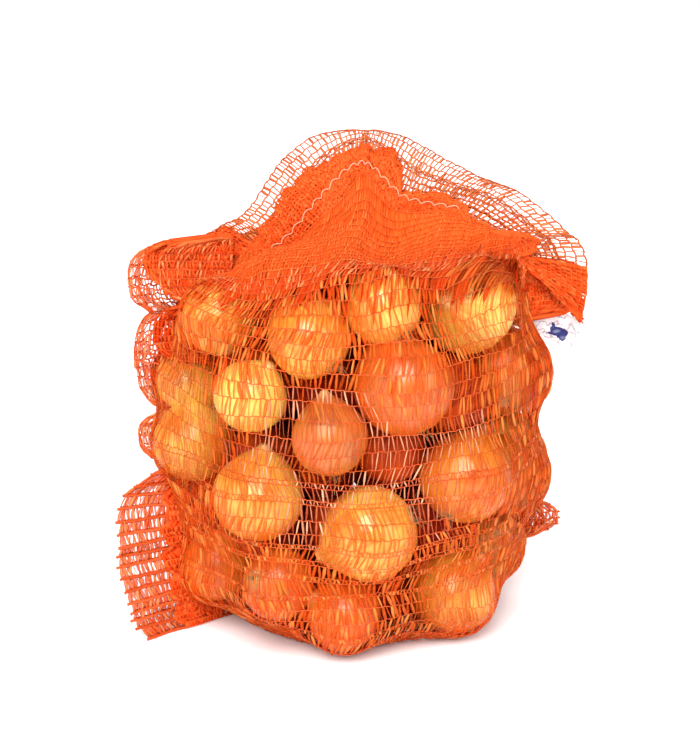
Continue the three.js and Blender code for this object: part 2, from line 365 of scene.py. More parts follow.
@dataclass(frozen=True)
class ThreadFinish:
    """Plastic tape, knitted chain, sewing thread or root hair, which lets some light through.

    Where it is film, its darkest lengths cover least and its lightest most of what lies behind.
    """

    name: str
    dark: Colour
    light: Colour
    roughness: float
    glow: float
    cover: tuple[float, float] = (1.0, 1.0)
    specular: float = 0.5
    gloss: Colour = (1.0, 0.85, 0.68)
    grain: float = 900.0
    relief: float = 0.15
    relief_depth: float = 0.0002

    def material(self) -> bpy.types.Material:
        """Build the material.

        Returns:
            A glossy skin mixed with a share of light that comes through from behind, made once.
        """
        found = bpy.data.materials.get(self.name)
        if found:
            return found
        material, sheet = new_material(self.name)
        tone = sheet.add("ShaderNodeGroup", node_tree=ThreadTone.group())
        tone.inputs["Dark"].default_value = (*self.dark, 1.0)
        tone.inputs["Light"].default_value = (*self.light, 1.0)
        tone.inputs["Scale"].default_value = self.grain
        skin = sheet.add(
            "ShaderNodeBsdfPrincipled",
            {
                "Base Color": tone.outputs["Colour"],
                "Roughness": self.roughness,
                "Specular IOR Level": self.specular,
                "Specular Tint": (*self.gloss, 1.0),
                "Normal": sheet.relief(tone.outputs["Relief"], self.relief, self.relief_depth),
            },
        )
        least, most = self.cover
        if least < most:
            cover = sheet.math("MULTIPLY_ADD", tone.outputs["Share"], most - least, least)
            sheet.tree.links.new(cover, skin.inputs["Alpha"])
        through = sheet.add("ShaderNodeBsdfTranslucent", {"Color": tone.outputs["Colour"]})
        mixed = sheet.add("ShaderNodeMixShader", {0: self.glow, 1: skin.outputs[0], 2: through.outputs[0]})
        sheet.surface(mixed)
        return material


@dataclass(frozen=True)
class NetFinishes:
    """The finishes of the net, from clear film pulled tight to film gathered in folds."""

    film: ThreadFinish = ThreadFinish(
        "net_film", linear(214, 82, 14), linear(240, 130, 46), 0.35, 0.1, (0.2, 0.66), 0.25
    )
    # Partly painted light: denser film away from the clear spots, where tapes overlap, in a lighter orange
    # that keeps the sides bright though they turn from the light.
    veil: ThreadFinish = ThreadFinish(
        "net_veil_painted_light", linear(248, 106, 28), linear(255, 160, 78), 0.45, 0.25, (0.36, 0.85), 0.15
    )
    # Painted highlight: a paler, pinker copy of the film for tapes that hang free over dark gaps, standing
    # in for their glints and sheen.
    glint_painted_free_film: ThreadFinish = ThreadFinish(
        "net_free_film_painted_glint", linear(206, 92, 54), linear(246, 180, 140), 0.35, 0.1, (0.5, 0.95), 0.25
    )
    chain: ThreadFinish = ThreadFinish(
        "net_chain", linear(194, 70, 24), linear(236, 106, 56), 0.5, 0.15, specular=0.15
    )
    gathered: ThreadFinish = ThreadFinish(
        "net_gathered", linear(248, 94, 30), linear(255, 132, 62), 0.6, 0.2, specular=0.12
    )
    # Painted shade: a darker copy of the net's colour for the lining, the gathered sheet and the creased
    # flap layers, which lie under other layers.
    under: ThreadFinish = ThreadFinish(
        "net_under_painted_shade", linear(206, 54, 12), linear(250, 106, 38), 0.6, 0.2, specular=0.1
    )
    fold: ThreadFinish = ThreadFinish(
        "net_fold", linear(250, 84, 24), linear(255, 122, 56), 0.6, 0.3, specular=0.12
    )
    frill: ThreadFinish = ThreadFinish(
        "net_frill", linear(220, 106, 48), linear(248, 152, 92), 0.5, 0.3, specular=0.2
    )
    edge: ThreadFinish = ThreadFinish(
        "net_frill_chain", linear(174, 78, 36), linear(226, 108, 56), 0.5, 0.2, specular=0.2
    )
    flap: ThreadFinish = ThreadFinish(
        "net_flap", linear(248, 108, 40), linear(255, 168, 106), 0.55, 0.25, (0.5, 0.95), 0.12
    )


@dataclass(frozen=True)
class OnionSkinFinish:
    """The dry golden skin of a yellow onion, with fibres that run from root to neck."""

    name: str = "onion_skin"
    pale: Colour = linear(244, 206, 94)
    gold: Colour = linear(228, 140, 41)
    copper: Colour = linear(214, 90, 22)
    tan: Colour = linear(190, 106, 44)
    umber: Colour = linear(140, 22, 4)
    gloss: Colour = (1.0, 0.9, 0.66)
    shine: float = 1.0
    straw: Colour = linear(222, 184, 118)
    depths: tuple[float, ...] = (0.06, 0.32, 0.58, 0.78, 1.0)
    least_rough: float = 0.28
    dull: float = 0.5
    dull_sharpness: float = 6.0
    fibre_beats: tuple[float, float, float] = (46.0, 1.6, 1.0)
    fibre_detail: float = 3.0
    streaks: float = 0.5
    blotch_scale: float = 42.0
    blotch_detail: float = 4.0
    blotches: float = 0.7
    dry_from: float = 0.4
    dry_to: float = 0.485
    dry_share: float = 0.8
    relief: float = 0.25
    relief_depth: float = 0.0006

    def material(self) -> bpy.types.Material:
        """Build the material.

        Returns:
            A glossy papery skin with streaks, blotches and dry ends.
        """
        material, sheet = new_material(self.name)
        tone = sheet.tone()
        around = sheet.add("ShaderNodeUVMap").outputs["UV"]
        split = sheet.add("ShaderNodeSeparateXYZ", {0: around})
        stretched = sheet.add("ShaderNodeMapping", {"Vector": around, "Scale": self.fibre_beats})
        fibres = sheet.noise(stretched.outputs[0], 1.0, self.fibre_detail).outputs["Fac"]
        clouds = sheet.noise(sheet.place(), self.blotch_scale, self.blotch_detail).outputs["Fac"]
        streak = sheet.math("MULTIPLY_ADD", fibres, self.streaks, -self.streaks / 2)
        blotch = sheet.math("MULTIPLY_ADD", clouds, self.blotches, -self.blotches / 2)
        depth = sheet.math("ADD", sheet.math("ADD", tone, streak), blotch)
        skins = (self.pale, self.gold, self.copper, self.tan, self.umber)
        bulb = sheet.ramp(depth, list(zip(self.depths, skins)))
        off_middle = sheet.math("ABSOLUTE", sheet.math("SUBTRACT", split.outputs["Y"], 0.5))
        dry = sheet.add(
            "ShaderNodeMapRange",
            {
                "Value": off_middle,
                "From Min": self.dry_from,
                "From Max": self.dry_to,
                "To Min": 0.0,
                "To Max": self.dry_share,
            },
        )
        colour = sheet.mix(dry.outputs[0], bulb, (*self.straw, 1.0))
        deepest = sheet.math("POWER", tone, self.dull_sharpness)
        rough = sheet.math("MULTIPLY_ADD", deepest, self.dull, self.least_rough)
        skin = sheet.add(
            "ShaderNodeBsdfPrincipled",
            {
                "Base Color": colour,
                "Roughness": rough,
                "Specular IOR Level": self.shine,
                "Specular Tint": (*self.gloss, 1.0),
                "Normal": sheet.relief(fibres, self.relief, self.relief_depth),
            },
        )
        sheet.surface(skin)
        return material


@dataclass(frozen=True)
class LabelFinish:
    """White printed film: a bare field with a dark block and a small warm patch, and no words."""

    film: Colour = linear(244, 240, 241)
    shade: Colour = linear(168, 154, 164)
    block: Colour = linear(36, 42, 104)
    patch: Colour = linear(220, 92, 100)
    block_corners: tuple[tuple[float, float], ...] = ((0.74, 0.3), (1.02, 0.66))
    patch_corners: tuple[tuple[float, float], ...] = ((0.4, 0.66), (0.58, 0.92))
    cloud_scale: float = 160.0
    cloud_detail: float = 3.0
    waver: tuple[float, float, float] = (0.3, 0.3, 0.0)
    crease_reach: float = 0.05
    roughness: float = 0.28
    relief: float = 0.2
    relief_depth: float = 0.001

    @staticmethod
    def field(
        sheet: NodeSheet, split: bpy.types.Node, low: tuple[float, float], high: tuple[float, float]
    ) -> bpy.types.NodeSocket:
        """Add a mask that is 1 in a rectangle of the label.

        Args:
            sheet: The material's nodes.
            split: The node that gives the place along and up the label.
            low: The rectangle's left and lower edges, as shares of the label.
            high: Its right and upper edges.

        Returns:
            The mask.
        """
        masks = []
        for axis, name in enumerate("XY"):
            value = split.outputs[name]
            masks.append(sheet.math("GREATER_THAN", value, low[axis]))
            masks.append(sheet.math("LESS_THAN", value, high[axis]))
        across = sheet.math("MULTIPLY", masks[0], masks[1])
        upward = sheet.math("MULTIPLY", masks[2], masks[3])
        return sheet.math("MULTIPLY", across, upward)

    def material(self) -> bpy.types.Material:
        """Build the material.

        Returns:
            Glossy film with fields of colour.
        """
        material, sheet = new_material("label_film")
        cloud = sheet.noise(sheet.place(), self.cloud_scale, self.cloud_detail)
        along = sheet.add("ShaderNodeUVMap").outputs["UV"]
        pulled = sheet.add(
            "ShaderNodeVectorMath",
            {0: cloud.outputs["Color"], 1: self.waver, 2: along},
            operation="MULTIPLY_ADD",
        )
        split = sheet.add("ShaderNodeSeparateXYZ", {0: pulled.outputs[0]})
        ridge = sheet.math("ABSOLUTE", sheet.math("SUBTRACT", cloud.outputs["Fac"], 0.5))
        film = sheet.ramp(ridge, [(0.0, self.shade), (self.crease_reach, self.film)])
        block = self.field(sheet, split, *self.block_corners)
        patch = self.field(sheet, split, *self.patch_corners)
        printed = sheet.mix(block, film, (*self.block, 1.0))
        printed = sheet.mix(patch, printed, (*self.patch, 1.0))
        creased = sheet.relief(cloud.outputs["Fac"], self.relief, self.relief_depth)
        skin = sheet.add(
            "ShaderNodeBsdfPrincipled",
            {"Base Color": printed, "Roughness": self.roughness, "Normal": creased},
        )
        sheet.surface(skin)
        return material


@dataclass(frozen=True)
class FloorFinish:
    """A plain pale floor with a painted glow that grows away from the sack, and painted shade under the
    sack, where the glow is cut to nothing.
    """

    light: Colour = (0.95, 0.95, 0.95)
    dark: Colour = (0.93, 0.93, 0.93)
    cloud_scale: float = 3.0
    cloud_detail: float = 2.0
    cloud_span: tuple[float, float] = (0.3, 0.7)
    roughness: float = 0.8
    # Painted light: the glow by distance from the floor's middle in metres, none under the sack, which
    # paints its shadow there.
    glow: tuple[tuple[float, float], ...] = ((0.055, 0.0), (0.085, 0.15), (0.14, 0.45), (0.9, 0.65))

    def material(self) -> bpy.types.Material:
        """Build the material.

        Returns:
            A matt floor, very slightly uneven, with painted light that glows more away from the sack and
            painted shade beneath it.
        """
        material, sheet = new_material("floor")
        place = sheet.place()
        cloud = sheet.noise(place, self.cloud_scale, self.cloud_detail).outputs["Fac"]
        colour = sheet.ramp(cloud, list(zip(self.cloud_span, (self.dark, self.light))))
        distance = sheet.add("ShaderNodeVectorMath", {0: place}, operation="LENGTH").outputs["Value"]
        # Painted light and painted shadow: the glow grows with the distance from the sack.
        glow = sheet.ramp(distance, [(away, (strength,) * 3) for away, strength in self.glow])
        skin = sheet.add(
            "ShaderNodeBsdfPrincipled",
            {
                "Base Color": colour,
                "Roughness": self.roughness,
                "Emission Color": glow,
                "Emission Strength": 1.0,
            },
        )
        sheet.surface(skin)
        return material


@dataclass(frozen=True)
class Belly:
    """The net as it would hang with no onion pressing on it."""

    half_width: float = 105.0
    half_depth: float = 96.0
    height: float = 108.0
    lower_reach: float = 122.0
    upper_reach: float = 132.0
    squareness: float = 2.6
    shoulder: float = 192.0

    def share(self, height: Array | float) -> Array:
        """Give the share of the belly's full size that is left at a height.

        Args:
            height: The height above the floor.

        Returns:
            The share.
        """
        level = np.asarray(height, float)
        reach = np.where(level < self.height, self.lower_reach, self.upper_reach)
        off = np.minimum(np.abs(level - self.height) / reach, 1.0)
        return (1.0 - off**self.squareness) ** (1.0 / self.squareness)

    def round(self, turn: Array, share: Array, height: Array, past: Array | float = 0.0) -> Array:
        """Give points round the sack.

        Args:
            turn: The turn in radians, from the left by the front to the right.
            share: The share of the belly's full size.
            height: The height above the floor.
            past: How far past the belly the points lie.

        Returns:
            The points.
        """
        across = -np.cos(turn) * (self.half_width * share + past)
        deep = -np.sin(turn) * (self.half_depth * share + past)
        return np.stack(np.broadcast_arrays(across, deep, height), axis=-1)


@dataclass(frozen=True)
class Seam:
    """The ridge where the front and back of the net are sewn together, from left to right."""

    knots: tuple[tuple[float, float, float], ...] = (
        (-64, -10, 222),
        (-37, -10, 222),
        (-11, -1, 247),
        (6, 10, 261),
        (25, 6, 242),
        (55, 0, 240),
        (87, 2, 226),
        (101, 8, 208),
    )

    def point(self, along: Array) -> Array:
        """Give points on a smooth curve through the knots.

        Args:
            along: The share of the way from the left end to the right.

        Returns:
            The points.
        """
        knots = np.asarray(self.knots, float)
        run = np.vstack([2 * knots[0] - knots[1], knots, 2 * knots[-1] - knots[-2]])
        place = np.clip(along, 0.0, 1.0) * (len(knots) - 1)
        i = np.minimum(place.astype(int), len(knots) - 2)
        t = (place - i)[..., None]
        before, start, end, after = (run[i + k] for k in range(4))
        leave = 0.5 * (end - before)
        reach = 0.5 * (after - start)
        bend = 2 * (start - end) + leave + reach
        curve = 3 * (end - start) - 2 * leave - reach
        return start + t * (leave + t * (curve + t * bend))


@dataclass
class OnionHeap:
    """The onions in the sack: those that show at the front, tiers behind and a core between them.

    A front onion is given by how far right and up it lies, its size and how deep its colour is, and a tier
    by its height, its count and the turns of its ends. Some front necks are given by the onion's number
    and the way they point, in degrees from right by up to left. Forms are for an onion with a radius of 1.
    """

    belly: Belly
    stand_out: float = 11.0
    floor_net: float = 1.0
    front: tuple[tuple[float, float, float, float], ...] = (
        (-77, 37, 45, 0.46),
        (-41, 43, 42, 0.58),
        (-4, 25, 45, 0.50),
        (58, 26, 50, 0.36),
        (-91, 108, 47, 0.26),
        (-52, 94, 53, 0.28),
        (10, 77, 56, 0.26),
        (63, 102, 54, 0.44),
        (95, 83, 50, 0.46),
        (-98, 142, 44, 0.20),
        (-55, 153, 42, 0.04),
        (-12, 135, 43, 0.74),
        (28, 160, 56, 0.62),
        (88, 146, 55, 0.46),
        (-73, 188, 44, 0.22),
        (-23, 187, 47, 0.30),
        (17, 203, 44, 0.18),
        (64, 194, 57, 0.18),
    )
    tiers: tuple[tuple[float, int, float, float], ...] = (
        (34, 6, 190, 350),
        (90, 6, 196, 346),
        (144, 6, 202, 340),
        (192, 5, 194, 344),
    )
    back_size: float = 50.0
    back_spread: float = 5.0
    back_beat: float = 2.4
    tier_beat: float = 1.7
    tier_depths: tuple[float, float] = (0.15, 0.6)
    palest: int = 36
    core_count: int = 34
    core_sizes: tuple[float, float] = (40.0, 52.0)
    # Painted shade: deep umber tones for the core, so the gaps between the outer onions look dark.
    core_shade_depths: tuple[float, float] = (0.85, 1.05)
    core_reach_squared: float = 0.36
    core_top: float = 211.0
    core_roof: float = 201.0
    settle_steps: int = 400
    settle_share: float = 0.3
    segments: int = 36
    rings: int = 22
    swings: tuple[float, float] = (-78.0, 74.0)
    fullness: float = 0.985
    flattening: float = 0.95
    pinch: float = 0.16
    point: float = 0.15
    root_outs: tuple[float, ...] = (0.02, 0.1, 0.15)
    root_ups: tuple[float, ...] = (-0.9, -0.91, -0.925)
    neck_outs: tuple[float, ...] = (0.17, 0.13, 0.11, 0.1, 0.03)
    neck_ups: tuple[float, ...] = (0.06, 0.1, 0.13, 0.15, 0.155)
    neck_bend: float = 0.1
    bent_above: float = 0.95
    squats: tuple[float, float] = (0.88, 1.02)
    ribs: int = 13
    rib_depth: float = 0.006
    lobes: tuple[int, int] = (2, 4)
    lobe_depth: float = 0.02
    lobe_drift: float = 1.5
    upright_above: float = 0.8
    flank: tuple[float, float] = (75.0, 135.0)
    neck_lean: tuple[float, float] = (-0.15, 0.15)
    front_necks: tuple[tuple[int, float], ...] = ((5, 85.0), (6, 205.0), (12, 108.0))
    root_onion: int = 1
    root_facing: tuple[float, float, float] = (-0.60, -0.64, 0.46)
    hairs: int = 14
    hair_stations: int = 4
    hair_length: float = 7.5
    hair_lengths: tuple[float, float] = (0.5, 1.1)
    hair_radius: float = 0.3
    hair_tip: float = 0.4
    hair_root: float = 0.88
    hair_patch: float = 0.05
    hair_spread: float = 0.55
    hair_curl: float = 0.35
    middles: Array = field(init=False)
    radii: Array = field(init=False)
    depths: Array = field(init=False)
    axes: Array = field(init=False)

    def __post_init__(self) -> None:
        """Work out where every onion lies and which way its neck points."""
        chance = np.random.default_rng(SEED)
        middles: list[Array] = []
        sizes: list[float] = []
        depths: list[float] = []
        for right, up, size, depth in self.front:
            inner = self.stand_out - size / 2
            share = self.belly.share(up)
            turn = np.arccos(np.clip(-right / (self.belly.half_width * share + inner), -1.0, 1.0))
            middles.append(self.belly.round(turn, share, up, inner))
            sizes.append(size)
            depths.append(depth)
        for tier, (up, count, first, last) in enumerate(self.tiers):
            for k in range(count):
                beat = self.back_beat * k + self.tier_beat * tier
                size = self.back_size + self.back_spread * math.sin(beat)
                turn = math.radians(first + (last - first) * k / (count - 1))
                middles.append(self.belly.round(turn, self.belly.share(up), up, self.stand_out - size / 2))
                sizes.append(size)
                depths.append(chance.uniform(*self.tier_depths))
        depths[self.palest] = 0.0
        self.middles = np.array(middles)
        self.radii = np.array(sizes) / 2
        self.middles[:, 2] = np.maximum(self.middles[:, 2], self.radii + self.floor_net)
        self.settle_core(chance)
        self.depths = np.concatenate([depths, chance.uniform(*self.core_shade_depths, self.core_count)])
        self.axes = self.necks(chance)

    def settle_core(self, chance: np.random.Generator) -> None:
        """Let loose onions find room between the outer ones, and add them to the heap.

        Args:
            chance: The seeded source of unevenness.
        """
        radii = chance.uniform(*self.core_sizes, self.core_count) / 2
        turn = chance.uniform(0.0, FULL_TURN, self.core_count)
        reach = np.sqrt(chance.uniform(0.0, self.core_reach_squared, self.core_count))
        height = np.linspace(radii[0] + self.floor_net, self.core_top, self.core_count)
        loose = self.belly.round(turn, reach, height)
        own = np.arange(self.core_count)
        every_radius = np.concatenate([self.radii, radii])
        for _ in range(self.settle_steps):
            apart = loose[:, None] - np.concatenate([self.middles, loose])[None]
            distance = np.maximum(np.linalg.norm(apart, axis=-1), 1e-6)
            press = np.maximum(radii[:, None] + every_radius[None] - distance, 0.0)
            press[own, len(self.middles) + own] = 0.0
            loose = loose + self.settle_share * np.sum((press / distance)[..., None] * apart, axis=1)
            loose[:, 2] = np.clip(loose[:, 2], radii + self.floor_net, self.core_top)
            share = self.belly.share(loose[:, 2])
            room_x = self.belly.half_width * share - radii
            room_y = self.belly.half_depth * share - radii
            out = np.hypot(loose[:, 0] / room_x, loose[:, 1] / room_y)
            loose[:, :2] /= np.maximum(out, 1.0)[:, None]
        loose[:, 2] = np.minimum(loose[:, 2], self.core_roof)
        self.middles = np.concatenate([self.middles, loose])
        self.radii = every_radius

    def necks(self, chance: np.random.Generator) -> Array:
        """Choose the way each onion's neck points: up or aside along the net, never far out of it.

        Args:
            chance: The seeded source of unevenness.

        Returns:
            A direction for each onion.
        """
        level = np.clip(self.middles[:, 2:3], *self.flank) * [0.0, 0.0, 1.0]
        outward = unit(self.middles - level + [0.0, 1e-6, 0.0])
        sideways = unit(np.cross([0.0, 0.0, 1.0], outward))
        upward = np.cross(outward, sideways)
        spin = chance.uniform(0.0, math.pi, len(outward))[:, None]
        lean = chance.uniform(*self.neck_lean, len(outward))[:, None]
        for onion, way in self.front_necks:
            spin[onion] = math.radians(way)
        ways = unit(np.cos(spin) * sideways + np.sin(spin) * upward + lean * outward)
        ways[self.root_onion] = -unit(np.array(self.root_facing))
        return ways

    def profile(self) -> tuple[Array, Array, Array]:
        """Work out an onion's outline from root to neck, for a radius of 1.

        Returns:
            The distance from the axis, the height, and the share of the way from root to neck.
        """
        swing = np.radians(np.linspace(*self.swings, self.rings))
        upper = np.maximum(np.sin(swing), 0.0)
        girth = np.cos(swing) * self.fullness * (1.0 - self.pinch * upper**3)
        out = np.concatenate([self.root_outs, girth, self.neck_outs])
        rise = np.sin(swing) * self.flattening + self.point * upper**4
        up = np.concatenate([self.root_ups, rise, rise[-1] + np.array(self.neck_ups)])
        run = np.concatenate([[0.0], np.cumsum(np.hypot(np.diff(out), np.diff(up)))])
        return out, up, run / run[-1]

    def bulb(self, chance: np.random.Generator, out: Array, up: Array, turn: Array) -> tuple[Array, ...]:
        """Work out the uneven form of one onion about its own axis, for a radius of 1.

        Args:
            chance: The seeded source of unevenness.
            out: The distance from the axis, ring by ring.
            up: The height along the axis, ring by ring.
            turn: The turns of a ring's points.

        Returns:
            The places to the right, ahead and along the axis.
        """
        lobes = chance.integers(*self.lobes)
        phase = chance.uniform(0.0, FULL_TURN, 3)
        squat = chance.uniform(*self.squats)
        ribs = self.rib_depth * np.sin(self.ribs * turn + phase[0])
        wave = np.sin(lobes * turn[None, :] + phase[1] + self.lobe_drift * up[:, None])
        uneven = self.lobe_depth * wave - self.lobe_depth
        reach = out[:, None] * (1.0 + ribs[None, :] + uneven)
        bend = self.neck_bend * np.maximum(up - self.bent_above, 0.0)[:, None]
        right = reach * np.cos(turn) + bend * math.cos(phase[2])
        ahead = reach * np.sin(turn) + bend * math.sin(phase[2])
        return right, ahead, squat * up[:, None]

    def build(self, outer: bpy.types.Material, inner: bpy.types.Material) -> list[bpy.types.Object]:
        """Make the onions, those that press on the net and those in the core as one mesh each.

        Args:
            outer: The finish of those that press on the net.
            inner: The finish of the core, darker and duller as painted shade.

        Returns:
            The two pieces.
        """
        chance = np.random.default_rng(SEED + 1)
        out, up, along = self.profile()
        turn = np.linspace(0.0, FULL_TURN, self.segments, endpoint=False)
        upright = np.abs(self.axes[:, 2:3]) >= self.upright_above
        right = unit(np.cross(np.where(upright, [[1.0, 0.0, 0.0]], [[0.0, 0.0, 1.0]]), self.axes))
        ahead = np.cross(self.axes, right)
        rows = len(out)
        ring = np.arange(rows * self.segments).reshape(rows, self.segments)
        after = np.roll(ring, -1, axis=1)
        sides = np.stack([ring[:-1], after[:-1], after[1:], ring[1:]], axis=-1).reshape(-1, 4)
        caps = [ring[0][::-1][None], ring[-1][None]]
        maps = np.stack(np.broadcast_arrays(turn[None, :] / FULL_TURN, along[:, None]), axis=-1)
        shown, core = MeshParts(), MeshParts()
        first_inner = len(self.middles) - self.core_count
        for i, (middle, radius) in enumerate(zip(self.middles, self.radii)):
            form = self.bulb(chance, out, up, turn)
            ways = (right[i], ahead[i], self.axes[i])
            points = middle + radius * sum(place[..., None] * way for place, way in zip(form, ways))
            tone = np.full(rows * self.segments, self.depths[i])
            parts = shown if i < first_inner else core
            parts.add(points.reshape(-1, 3), [sides, *caps], tone, maps.reshape(-1, 2))
        return [shown.make("onions", outer), core.make("inner_onions", inner)]

    def build_roots(self, material: bpy.types.Material) -> bpy.types.Object:
        """Make the tufts of dry root hair on the onions that press on the net.

        Args:
            material: The finish.

        Returns:
            The piece.
        """
        chance = np.random.default_rng(SEED + 2)
        shown = slice(len(self.middles) - self.core_count)
        axes, radii = self.axes[shown], self.radii[shown]
        shape = (len(axes), self.hairs)
        root = self.middles[shown] - axes * (self.hair_root * radii)[:, None]
        scatter = chance.normal(0.0, 1.0, (*shape, 3))
        start = root[:, None] + scatter * self.hair_patch * radii[:, None, None]
        heading = unit(-axes[:, None] + self.hair_spread * scatter)
        curl = chance.normal(0.0, self.hair_curl, (*shape, 3))
        length = self.hair_length * chance.uniform(*self.hair_lengths, shape)[..., None, None]
        along = np.linspace(0.0, 1.0, self.hair_stations)[:, None]
        points = start[:, :, None] + length * (heading[:, :, None] * along + curl[:, :, None] * along**2)
        points = points.reshape(-1, self.hair_stations, 3)
        thinning = np.linspace(1.0, self.hair_tip, self.hair_stations)
        radius = np.broadcast_to(self.hair_radius * thinning, points.shape[:2])
        normals = np.broadcast_to([0.0, 0.0, 1.0], points.shape)
        parts = MeshParts()
        tone = chance.uniform(0.0, 1.0, len(points))
        parts.add_strands(points, normals, radius, radius, np.zeros(len(points)), tone)
        return parts.make("onion_roots", material)


@dataclass(frozen=True)
class Gauge:
    """How tightly a stretch of net is knitted, and the form of its tapes and chains."""

    spacing: float
    pitch: float
    tape_half_width: float
    tape_half_thickness: float
    chain_radius: float
    twist: float
    lean: float = 0.0
    stations: int = 3
    inset: float = 0.25
    scallop: float = 0.0


class Stretch(Enum):
    """How far the net is pulled open, from tight over an onion to gathered at the seam."""

    OPEN = Gauge(8.4, 2.6, 0.62, 0.10, 0.22, 0.55, lean=0.9, inset=0.34, scallop=0.3)
    LADDER = Gauge(2.8, 2.0, 0.55, 0.12, 0.23, 0.30)
    EASED = Gauge(6.4, 2.4, 0.80, 0.12, 0.22, 0.45, lean=0.7, inset=0.32, scallop=0.3)
    SLACK = Gauge(4.8, 2.2, 0.70, 0.14, 0.20, 0.45, lean=0.6, inset=0.32)
    GATHERED = Gauge(3.0, 1.6, 0.58, 0.14, 0.20, 0.35, stations=2, inset=0.34)
    FRILL = Gauge(5.2, 2.5, 0.62, 0.24, 0.44, 0.40, inset=0.42, scallop=0.45)
    POUCH = Gauge(4.6, 2.4, 0.85, 0.18, 0.36, 0.50, scallop=0.4)
    FLAP = Gauge(6.2, 2.7, 1.00, 0.16, 0.80, 0.45)
    LOOSE = Gauge(5.6, 3.0, 0.80, 0.18, 0.42, 0.50, scallop=0.5)
    DENSE = Gauge(2.8, 1.9, 1.85, 0.14, 0.32, 0.20, stations=2, inset=0.42)
    CREASED = Gauge(4.2, 2.0, 1.10, 0.14, 0.30, 0.40, inset=0.40)


class NetPatch:
    """A stretch of net: a surface on which chains run across and zigzag tapes climb between them."""

    closed = False
    unit_height = 1.0
    measuring_points = 240

    def spread(self, across: Array, up: Array) -> tuple[Array, Array]:
        """Give points of the patch.

        Args:
            across: The share of the way along a chain.
            up: The place in the stack of chains.

        Returns:
            The points and the directions that face out of the net there.
        """
        raise NotImplementedError

    def breadth(self, across: Array, up: Array) -> Array:
        """Give how broad the film is, against its least."""
        return np.ones(np.broadcast(across, up).shape)

    def chain_length(self, up: float) -> float:
        """Measure the chain at a place in the stack.

        Args:
            up: The place.

        Returns:
            The chain's length.
        """
        across = np.linspace(0.0, 1.0, self.measuring_points)
        points, _ = self.spread(across, np.full_like(across, up))
        return float(np.linalg.norm(np.diff(points, axis=0), axis=-1).sum())


